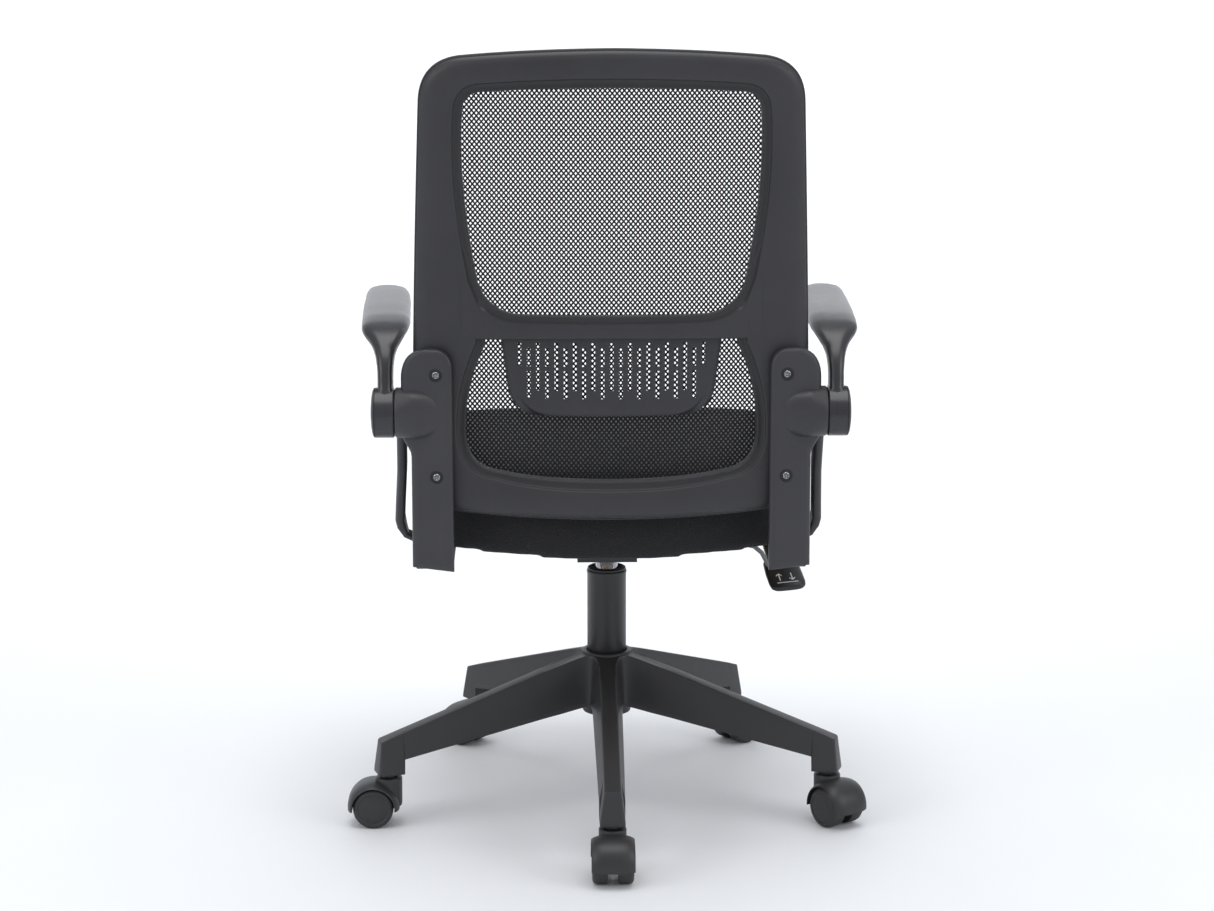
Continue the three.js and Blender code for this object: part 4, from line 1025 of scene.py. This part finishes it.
def hub_ring(x, half_height, rear, front, squareness, count=48):
    """A ring about the arm's pivot. Its rear half may be squarer than its front half."""
    ring = []
    for angle in half_step_angles(count):
        power = squareness if math.cos(angle) < 0 or front < 0 else 1.0
        u, v = squircle(angle, power)
        reach = (rear if u < 0 else front) * u
        ring.append(Vector((x, arm_pivot.y + reach, arm_pivot.z + half_height * v)))
    return ring


def bracket_hub(bm):
    nose, cheek = PLATE_INNER + 9 * MM, PLATE_OUTER - 2 * MM
    rail_side = HALF_WIDTH + 4 * MM
    full, sunk = HUB_RADIUS, 20.5 * MM
    rows = []
    for i in range(15):
        angle = math.radians(90) * (i + 0.4) / 14.4
        t = math.sin(angle)
        x = nose + (cheek - nose) * (1 - math.cos(angle))
        rows.append(hub_ring(x, full * t ** 0.6, sunk + (full - sunk) * t ** 2.4, -6 * MM, 0.55))
    rows.append(hub_ring(rail_side - MM, full, full, -6 * MM, 0.58))
    for run, square in ((0, 0.6), (4, 0.68), (8, 0.79), (12, 0.9), (16, 1.0)):
        rows.append(hub_ring(rail_side + run * MM, full, full, full, square))
    for back_off, lip in ((2.0, 0.0), (0.5, 0.5), (0.0, 1.6)):
        rows.append(hub_ring(SEAM - back_off * MM, *[full - lip * MM] * 3, 1.0))
    rings(bm, rows)


# %% Strap and foot
STRAP_X = 250 * MM
STRAP_HALF, STRAP_END_HALF, STRAP_WIDE = 6.2 * MM, 4 * MM, 15 * MM
STRAP_THINS = 385  # the height in millimetres under which the strap is thinner
UNDER_SEAT = seat_low.z - 5.5 * MM


def strap_ring(centre, direction, flat, half, wide, count=20):
    """A flat rounded ring across a path: wide along flat and thin the other way."""
    broad = flat.normalized()
    thin = direction.cross(broad).normalized()
    ring = []
    for angle in half_step_angles(count):
        u, v = squircle(angle, 0.5)
        ring.append(centre + broad * u * wide + thin * v * half)
    return ring


def strap_route():
    """Centres down the strap as (out from STRAP_X, forward of the column, height, direction)."""
    pivot, under = arm_pivot.z / MM, UNDER_SEAT / MM
    return [(0, -208, pivot - 8, (0, 0.6, -0.8)), (3, -150, 478, (0, 0.6, -0.8)), (7, -112, 430, (0, 0.55, -0.83)),
            (9, -94, 402, (0, 0.3, -0.95)), (7, -89, 389, (-0.2, 0.1, -0.97)), (2, -87, under + 6, (-0.7, 0, -0.7)),
            (-8, -85, under + 1, (-0.96, 0, -0.25)), (-22, -84, under, (-1, 0, 0)),
            ((PLATE_INNER - STRAP_X) / MM + 8, -84, under, (-1, 0, 0))]


def bracket_strap(bm):
    rows = []
    for out, forward, height, direction in strap_route():
        way = Vector(direction).normalized()
        flat = way.cross(Vector((1, 0, 0))) if abs(way.x) < 0.15 else Vector((0, -1, 0))
        if flat.y > 0:
            flat = -flat
        half = STRAP_HALF if height > STRAP_THINS else STRAP_END_HALF
        centre = Vector((STRAP_X + out * MM, COLUMN_Y + forward * MM, height * MM))
        rows.append(strap_ring(centre, way, flat, half, STRAP_WIDE))
    rings(bm, rows)


def slab(bm, low, high, radius=2 * MM):
    """A box between two corners with its edges rounded."""
    low, high = Vector(low), Vector(high)
    made = bmesh.ops.create_cube(bm, size=1.0)
    bmesh.ops.scale(bm, verts=made["verts"], vec=high - low)
    bmesh.ops.translate(bm, verts=made["verts"], vec=(low + high) / 2)
    edges = list({edge for vert in made["verts"] for edge in vert.link_edges})
    bmesh.ops.bevel(bm, geom=edges, offset=radius, segments=3, affect="EDGES", profile=0.5, material=-1)


def bracket(side, label):
    bm = bmesh.new()
    bracket_plate(bm)
    bracket_hub(bm)
    bracket_strap(bm)
    foot_high = seat_low.z - 1.8 * MM
    slab(bm, (PLATE_INNER + MM, COLUMN_Y - 240 * MM, foot_high - 5.5 * MM),
         (PLATE_OUTER - 4 * MM, bracket_high.y, foot_high))
    slab(bm, (PLATE_INNER + 2 * MM, COLUMN_Y - 115 * MM, foot_high - 6 * MM),
         (215 * MM, bracket_high.y - 4 * MM, seat_low.z + 4.6 * MM))
    mirrored_for(bm, side)
    keep(bm, f"bracket_{label}_shell", "seat", bracket_nylon, [f"arm_bracket_{label}"], "black_nylon", sharp=44)


for side, label in ((1, "right"), (-1, "left")):
    bracket(side, label)

# %% [markdown]
# ## Screws
#
# Two screws hold each bracket to the rail. Each has a domed head with a cross cut in it. A flat ring,
# slightly raised and near-black, stands round the head: it is painted shade, put where the recess that
# the head sits in would be in shadow. The cross is two crossing grooves: the head's middle faces are
# inset and pushed in where they lie on one of the cross's arms.

# %% Back screws
SCREW_X = PLATE_INNER + 20 * MM


def middle_height(node):
    low, high = box_of(node)
    return (low.z + high.z) / 2


SCREW_HEIGHTS = [(middle_height(f"back_screw_{which}_right"), which) for which in ("lower", "upper")]
HEAD_RADIUS = 4.2 * MM


def screw_head(bm):
    """A domed head that faces the rear, with a cross recess pressed in."""
    cells = 22
    made = bmesh.ops.create_grid(bm, x_segments=cells, y_segments=cells, size=1.0)
    turn = math.radians(38)
    for vert in made["verts"]:
        x, z = vert.co.x, vert.co.y
        reach = max(abs(x), abs(z))
        length = math.hypot(x, z) or 1.0
        x, z = x / length * reach * HEAD_RADIUS, z / length * reach * HEAD_RADIUS
        dome = 1.6 * MM * math.sqrt(max(0.0, 1 - 0.96 * reach * reach))
        one_arm = abs(x * math.cos(turn) + z * math.sin(turn))
        other_arm = abs(z * math.cos(turn) - x * math.sin(turn))
        in_cross = max(one_arm, other_arm) < 2.9 * MM and min(one_arm, other_arm) < 0.72 * MM
        vert.co = Vector((x, -dome + (1.3 * MM if in_cross else 0.0), z))
    turned(bm, millimetres([(4.6, -0.3), (4.6, 2.2), (0, 2.2)]), (0, 0, 0), (0, 1, 0), 88)


# A flat, slightly raised ring round the screw head in near-black: painted shade for the recess that the head sits in.
def painted_recess_shade_ring(bm):
    profile = [(3.6, 2), (3.8, -0.3), (7.2, -0.7), (7.9, -0.2), (7.9, 2), (3.6, 2)]
    turned(bm, millimetres(profile), (0, 0, 0), (0, 1, 0), 48)


def onto_plate(bm, side, height):
    """Moves a part drawn at the origin onto the plate's sloping rear face."""
    slope = Vector((-SCREW_X / WRAP_RADIUS, 1, 2 * LINE_CURVE * (height - LINE_HEIGHT))).normalized()
    turn = Vector((0, 1, 0)).rotation_difference(slope).to_matrix()
    bmesh.ops.rotate(bm, verts=bm.verts, matrix=turn)
    bmesh.ops.translate(bm, verts=bm.verts, vec=on_back(SCREW_X, height, PLATE_REAR))
    mirrored_for(bm, side)


def screw_part(shape, side, height, name, finish, sharp, **extra):
    bm = bmesh.new()
    shape(bm)
    onto_plate(bm, side, height)
    keep(bm, name, "seat", finish, sharp=sharp, **extra)


for side, label in ((1, "right"), (-1, "left")):
    for height, which in SCREW_HEIGHTS:
        place = f"{which}_{label}"
        screw_part(screw_head, side, height, f"screw_{place}", screw_steel, 40, replaces=[f"back_screw_{place}"])
        screw_part(painted_recess_shade_ring, side, height, f"painted_recess_shade_ring_{place}", recess_painted_shade, 60, slot="black_nylon")

# %% [markdown]
# ## Star base
#
# The base is one nylon moulding with five legs. Seen from above its outline is a star whose inner
# corners are rounded. A chain of points, from the leg's middle out over the ridge, down the flank and
# back in along the channel underneath, is carried once round that whole outline. Where the two
# sides of a leg meet in the middle their points coincide, so merging doubles welds them.

# %% Star outline
LEG_ANGLES = (-90, -18, -162, 54, 126)
HUB_EDGE = 31 * MM
TIP_REACH = 309 * MM
FOOT_LENGTH = 33 * MM
FOOT_BOTTOM = 67 * MM
LEG_TOP = (201 * MM, 109.5 * MM)
LEG_BOTTOM = (134 * MM, 80 * MM)
RIDGE_HALF = 10.2 * MM
FLANK_HALF = (19.5 * MM, 15.5 * MM)
FOOT_INNER = TIP_REACH - FOOT_LENGTH
HALF_STEP = math.radians(36)
FILLET_END = 66 * MM


def between(ends, u, start=HUB_EDGE, finish=TIP_REACH):
    t = min(1.0, max(0.0, (u - start) / (finish - start)))
    return ends[0] + (ends[1] - ends[0]) * t


def half_leg_outline(valley, ends, tip, corner):
    """One side of a leg seen from above, from the valley to the tip's middle, as (u, v) points."""
    start = Vector((valley * math.cos(HALF_STEP), valley * math.sin(HALF_STEP)))
    wide = between(ends, FILLET_END)
    back = (start.y - wide) / math.cos(HALF_STEP)
    knee = Vector((start.x + back * math.sin(HALF_STEP), wide))
    points = bowed(start, knee, (FILLET_END, wide), 8)
    side_end = tip - corner
    stops = [FILLET_END + (FOOT_INNER - 0.4 * MM - FILLET_END) * i / 8 for i in range(9)]
    stops += [FOOT_INNER, FOOT_INNER + 9 * MM, side_end]
    points += [Vector((u, between(ends, u))) for u in stops]
    end_width = between(ends, tip) - corner
    points += bowed((side_end, between(ends, side_end)), (tip, between(ends, tip)), (tip, end_width), 4)[1:]
    return points + [Vector((tip, end_width)), Vector((tip, 0))]


ridge_line = half_leg_outline(34 * MM, (RIDGE_HALF, RIDGE_HALF), TIP_REACH - 4.5 * MM, 3 * MM)
flank_line = half_leg_outline(38 * MM, FLANK_HALF, TIP_REACH, 4 * MM)
heart = []
for i in range(9):
    a = HALF_STEP * (1 - i / 8)
    heart.append(Vector((math.cos(a), math.sin(a))) * 27 * MM)
heart += [Vector((min(point.x, TIP_REACH - 18 * MM), 0)) for point in flank_line[len(heart):]]


# %% Star base


def leg_chain(ridge, flank, centre):
    """Points across half a leg: middle, ridge, flank, bottom edge, channel wall, channel roof, middle."""
    in_foot = flank.x >= FOOT_INNER - 0.1 * MM
    top = between(LEG_TOP, ridge.x)
    bottom = FOOT_BOTTOM if in_foot else between(LEG_BOTTOM, flank.x)
    inward = (centre - flank).normalized() if (centre - flank).length > 0 else Vector((0, 0))
    inward_ridge = (centre - ridge).normalized() if (centre - ridge).length > MM / 10 else Vector((0, 0))
    wall = flank + inward * 4 * MM
    if in_foot:
        roof, eave, eave_height = bottom, wall, bottom
    else:
        roof, eave = top - 16 * MM, ridge.lerp(flank, 0.3) + inward * 4 * MM
        eave_height = roof - 3 * MM
    return [
        (centre, between(LEG_TOP, centre.x)), (ridge + inward_ridge * 2.4 * MM, top),
        (ridge + inward_ridge * 0.9 * MM, top - 0.35 * MM), (ridge, top - 1.5 * MM),
        (ridge.lerp(flank, 0.10), top - 5 * MM), (ridge.lerp(flank, 0.93), bottom + 6 * MM),
        (flank, bottom + 1.4 * MM), (flank + inward * 0.4 * MM, bottom + 0.4 * MM), (flank + inward * 1.4 * MM, bottom),
        (wall, bottom), (wall + inward * MM if in_foot else eave, eave_height),
        (eave + inward * 2.5 * MM, roof), (centre, roof),
    ]


def around(point, z, angle, flip):
    c, s = math.cos(math.radians(angle)), math.sin(math.radians(angle))
    u, v = point.x, point.y * flip
    return Vector((c * u - s * v, COLUMN_Y + s * u + c * v, z))


chains = []
for angle in sorted(LEG_ANGLES):
    rising = list(zip(ridge_line, flank_line, heart))
    for part in rising:
        chains.append([around(p, z, angle, -1) for p, z in leg_chain(*part)])
    for part in reversed(rising[1:-1]):
        chains.append([around(p, z, angle, 1) for p, z in leg_chain(*part)])
AXIS_FOOT, UPRIGHT = (0, COLUMN_Y, 0), (0, 0, 1)
star = bmesh.new()
rings(star, chains, loop=True, closed=False)
bmesh.ops.remove_doubles(star, verts=star.verts, dist=5e-6)
open_edges = [edge for edge in star.edges if len(edge.link_faces) == 1]
bmesh.ops.bridge_loops(star, edges=open_edges)
HUB_PROFILE = [(25.3, 121), (29.6, 121), (30.6, 121.5), (31, 122.6), (31, 128), (31.6, 140), (32, 196), (32, 200.6),
               (31.5, 202.3), (30.3, 203), (26.8, 203), (26, 202.4), (25.3, 200.6), (25.3, 121)]
SOCKET_PROFILE = [(9, 2), (9, -1.2), (11.4, -1.2), (12, -0.6), (12, 2), (9, 2)]
turned(star, millimetres(HUB_PROFILE), AXIS_FOOT, UPRIGHT, 72)
for angle in LEG_ANGLES:
    c, s = math.cos(math.radians(angle)), math.sin(math.radians(angle))
    reach = TIP_REACH - 16 * MM
    turned(star, millimetres(SOCKET_PROFILE), (c * reach, COLUMN_Y + s * reach, FOOT_BOTTOM), UPRIGHT, 32)
keep(star, "star_base_shell", "base", base_nylon, ["star_base"], "black_nylon", sharp=32)

# %% [markdown]
# ## Column
#
# The gas column: a powder-coated outer tube that stands in the hub, a plastic guide pressed into its
# top, and the polished cylinder that slides up and down in the guide and carries the seat.

# %% Column
TUBE = [(23.2, 126), (24.4, 126), (25, 127), (25, 304.5), (25.5, 305.4), (25.7, 307), (25.2, 308.6), (24, 309.1),
        (23.2, 308.6), (23.2, 126)]
GUIDE = [(14.4, 225), (22.6, 225), (22.6, 309.4), (24.2, 309.5), (24.6, 310.4), (24.2, 311.9), (22.8, 312.6),
         (17.4, 312.9), (16.4, 312.4), (15.2, 310.2), (14.4, 309), (14.4, 225)]
CYLINDER = [(5.4, 142), (13, 142), (14, 143), (14, 336.8), (13, 338), (4.6, 338), (4.6, 326), (11.6, 326),
            (11.6, 152), (5.4, 152), (5.4, 142)]
for profile, name, body, finish, node, slot, sharp in (
    (TUBE, "column_tube_shell", "base", powder_coat, "column_tube", "black_steel", 50),
    (GUIDE, "column_guide", "base", caster_plastic, "column_bush", "black_nylon", 40),
    (CYLINDER, "gas_cylinder_shell", "piston", chrome, "gas_cylinder", "chrome", 40),
):
    round_piece(profile, AXIS_FOOT, UPRIGHT, 96, name, body, finish, [node], slot, sharp)

# %% [markdown]
# ## Casters
#
# Each caster has two wheels on one axle under a hood. The hood is a barrel-shaped cover: its section
# is spun about the axle through a little over half a turn. A web between the wheels and a round collar
# about the stem complete it. A caster is drawn with its swivel on the Z axis, then turned into place.

# %% Caster parts
WHEEL_RADIUS = 25.5 * MM
TRAIL = 19.5 * MM
WHEEL_NEAR, WHEEL_FAR = 6.2 * MM, 25.2 * MM
CASTER_CIRCLE = TIP_REACH - 16 * MM
CASTER_TURNS = (-90, -55, 180, 40, 140)
AXLE = (TRAIL, 0, WHEEL_RADIUS)


def caster_place(bm, number):
    """Turns a caster's part about its swivel and moves it under its leg."""
    angle = math.radians(LEG_ANGLES[number])
    bmesh.ops.rotate(bm, verts=bm.verts, matrix=Matrix.Rotation(math.radians(CASTER_TURNS[number]), 3, "Z"))
    foot = Vector((math.cos(angle) * CASTER_CIRCLE, COLUMN_Y + math.sin(angle) * CASTER_CIRCLE, 0))
    bmesh.ops.translate(bm, verts=bm.verts, vec=foot)


def hood(bm):
    half = [(33.0, 0), (33.0, 8), (32.6, 13), (31.7, 17.5), (30.6, 21), (29.3, 24), (28.2, 25.8), (27.4, 26.3),
            (26.9, 25.8), (27.0, 6.2), (26.6, 5.3), (9, 5.3)]
    section = half + [(radius, -run) for radius, run in reversed(half[1:])]
    rows = []
    start, finish, count = -7, 186, 44
    for i in range(count + 1):
        a = math.radians(start + (finish - start) * i / count)
        rows.append([Vector((TRAIL + math.cos(a) * r * MM, run * MM, WHEEL_RADIUS + math.sin(a) * r * MM))
                     for r, run in section])
    rings(bm, rows)
    boss = millimetres([(9.5, -5.4), (9.5, 5.4), (3.3, 5.4), (3.3, -5.4), (9.5, -5.4)])
    turned(bm, boss, AXLE, (0, 1, 0), 32)
    collar = millimetres([(5.8, 24), (14.6, 24), (16, 25.2), (16.6, 28), (16.8, 56), (16.8, 60.6), (16.2, 62), (15, 62.5),
                          (11.6, 62.5), (11, 61.8), (10.6, 59.5), (5.8, 59.5), (5.8, 24)])
    turned(bm, collar, (0, 0, 0), (0, 0, 1), 48)


WHEEL_FACE = [(3.4, 6.2), (24.6, 6.2), (24.6, 22.0), (23.2, 24.2), (21.6, 25.0), (20.2, 25.1), (19.4, 24.4), (18.4, 24.3),
              (17.4, 24.9), (9, 25.3), (0.01, 25.4)]
TREAD = [(23.8, 6.3), (24.9, 6.3), (25.5, 7.4), (25.5, 20.6), (25.1, 22.3), (24.2, 23.6), (23.4, 24.0), (23.8, 6.3)]


def wheel(bm, profile, side):
    turned(bm, [(radius * MM, run * MM * side) for radius, run in profile], AXLE, (0, 1, 0), 64)


for number in range(5):
    label = f"caster_{number + 1}"
    cover = bmesh.new()
    hood(cover)
    caster_place(cover, number)
    keep(cover, f"{label}_cover", label, caster_plastic, [f"{label}_hood"], "caster_plastic", sharp=36)
    for side, which in ((1, "a"), (-1, "b")):
        disc = bmesh.new()
        wheel(disc, WHEEL_FACE, side)
        caster_place(disc, number)
        keep(disc, f"{label}_disc_{which}", f"{label}_wheel_{which}", caster_plastic, [f"{label}_wheel_{which}"],
             "caster_plastic", sharp=40)
        tread = bmesh.new()
        wheel(tread, TREAD, side)
        caster_place(tread, number)
        keep(tread, f"{label}_tread_{which}", f"{label}_wheel_{which}", tread_plastic, slot="caster_plastic", sharp=60)

# %% [markdown]
# ## Lift lever
#
# The paddle is a rounded bar at the end of the rod. Generic marks on it, an arrow up and one down over
# a bar, say what it does.

# %% Paddle
lever_low, lever_high = box_of("lever_paddle")
paddle = bmesh.new()
PADDLE_TILT = math.radians(24)
PADDLE_MIDDLE = (lever_low + lever_high) / 2
PADDLE_SIZE = Vector((lever_high.x - lever_low.x, 66 * MM, 10 * MM))


def tilt_paddle(bm, verts):
    bmesh.ops.rotate(bm, verts=verts, matrix=Matrix.Rotation(math.radians(9), 3, "Z"))
    bmesh.ops.rotate(bm, verts=verts, matrix=Matrix.Rotation(PADDLE_TILT, 3, "X"))
    bmesh.ops.translate(bm, verts=verts, vec=PADDLE_MIDDLE)


def paddle_ring(y, half_width, half_depth):
    ring = []
    for angle in half_step_angles(32):
        across, up = squircle(angle, 0.55)[0], squircle(angle, 0.7)[1]
        ring.append(Vector((across * half_width, y, up * half_depth)))
    return ring


wide, long, deep = PADDLE_SIZE / 2
# Each stop along the paddle: millimetres in from its end, share of the half width, share of the half depth.
REAR_STOPS = [(0, 0.62, 0.5), (1.5, 0.8, 0.8), (5, 0.94, 0.98), (12, 1, 1)]
FRONT_STOPS = [(12, 0.94, 1), (5, 0.82, 0.98), (1.5, 0.6, 0.8), (0, 0.45, 0.5)]
sections = [paddle_ring(run * MM - long, wide * w, deep * d) for run, w, d in REAR_STOPS]
sections.append(paddle_ring(0, wide, deep * 0.86))
sections += [paddle_ring(long - run * MM, wide * w, deep * d) for run, w, d in FRONT_STOPS]
rings(paddle, sections)
tilt_paddle(paddle, paddle.verts)
keep(paddle, "paddle_shell", "lever", lever_plastic, ["lever_paddle"], "lever_plastic", sharp=60)

# %% Marks on the paddle
marks = bmesh.new()


def stroke(start, end, width=1.3 * MM):
    """A raised bar on the paddle's upper face, between two points given as (across, along)."""
    start, end = Vector((*start, 0)), Vector((*end, 0))
    made = bmesh.ops.create_cube(marks, size=1.0)
    length = (end - start).length
    bmesh.ops.scale(marks, verts=made["verts"], vec=(length, width, 0.5 * MM))
    edges = list({edge for vert in made["verts"] for edge in vert.link_edges})
    turn = Matrix.Rotation(math.atan2(end.y - start.y, end.x - start.x), 3, "Z")
    bmesh.ops.rotate(marks, verts=made["verts"], matrix=turn)
    bmesh.ops.translate(marks, verts=made["verts"], vec=(start + end) / 2 + Vector((0, 0, deep * 0.97)))
    bmesh.ops.bevel(marks, geom=edges, offset=0.15 * MM, segments=1, affect="EDGES", profile=0.5, material=-1)


for way, x in ((1, -9 * MM), (-1, 7 * MM)):
    foot, head = -way * 7 * MM - 14 * MM, way * 7 * MM - 14 * MM
    stroke((x, foot), (x, head))
    stroke((x, head), (x - 3.6 * MM, head - way * 4 * MM))
    stroke((x, head), (x + 3.6 * MM, head - way * 4 * MM))
stroke((-14 * MM, -25 * MM), (13 * MM, -25 * MM))
tilt_paddle(marks, marks.verts)
keep(marks, "paddle_marks", "lever", mark_ink, slot="lever_plastic", sharp=20)

# %% Lever rod
ROD_RADIUS = 4 * MM
TONGUE_UNDER = box_of("release_pin")[1].z + 0.3 * MM
FLATTENED_FROM = 180 * MM
ROUTE = [(10, 0, 345), (40, 0, 345), (120, -4, 345), (172, -10, 344.5), (188, -13, 341), (198, -15, 333),
         (204, -16, 322), (208, -17, 312), (212, -18, 308), (224, -18, 307)]
route = [Vector(stop) * MM + Vector((0, COLUMN_Y, 0)) for stop in ROUTE]
sideways = Vector((0, 1, 0))
sections = []
for i, centre in enumerate(route):
    way = (route[min(i + 1, len(route) - 1)] - route[max(i - 1, 0)]).normalized()
    upward = way.cross(sideways).normalized()
    broad, thin = (ROD_RADIUS, ROD_RADIUS) if centre.x < FLATTENED_FROM else (ROD_RADIUS * 1.5, ROD_RADIUS * 0.75)
    angles = [math.radians(22.5 * k) for k in range(16)]
    sections.append([centre + sideways * math.cos(a) * broad + upward * math.sin(a) * thin for a in angles])
rod = bmesh.new()
rings(rod, sections)
slab(rod, (-20 * MM, COLUMN_Y - 6 * MM, TONGUE_UNDER), (14 * MM, COLUMN_Y + 6 * MM, TONGUE_UNDER + 3.5 * MM),
     0.8 * MM)
keep(rod, "lever_rod_bent", "lever", insert_plastic, ["lever_rod"], "black_steel", sharp=50)

# %% [markdown]
# ## Finishes of the working parts
#
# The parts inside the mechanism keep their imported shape. Each gets a finish through its own slot, and
# the pressed-steel ones a narrow live bevel, because folded and sheared edges are never knife sharp.

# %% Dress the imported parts
dressed = {
    "zinc": (zinc, ["piston_rod", "release_pin", "thrust_bearing", "column_clip", "tilt_pin", "tilt_spring", "tension_bolt",
                    "arm_pivot_bolt_right", "arm_pivot_bolt_left"]),
    "steel": (powder_coat, ["mechanism_housing", "mechanism_top_plate"]),
    "nylon": (nylon, ["tension_knob", "lever_bush"]),
    "board": (plywood, ["seat_board"]),
}
for number in range(1, 6):
    dressed["zinc"][1].append(f"caster_{number}_axle")
    dressed["steel"][1].append(f"caster_{number}_stem")
for finish, nodes in dressed.values():
    for node in nodes:
        part = bpy.data.objects[node]
        for place in part.material_slots:
            place.link = "OBJECT"
            place.material = finish
for node in ("mechanism_housing", "mechanism_top_plate", "seat_board", "tension_knob"):
    rounded_edges(bpy.data.objects[node], 0.8 * MM, 40)
print("dressed", sum(len(nodes) for _, nodes in dressed.values()), "packed parts")
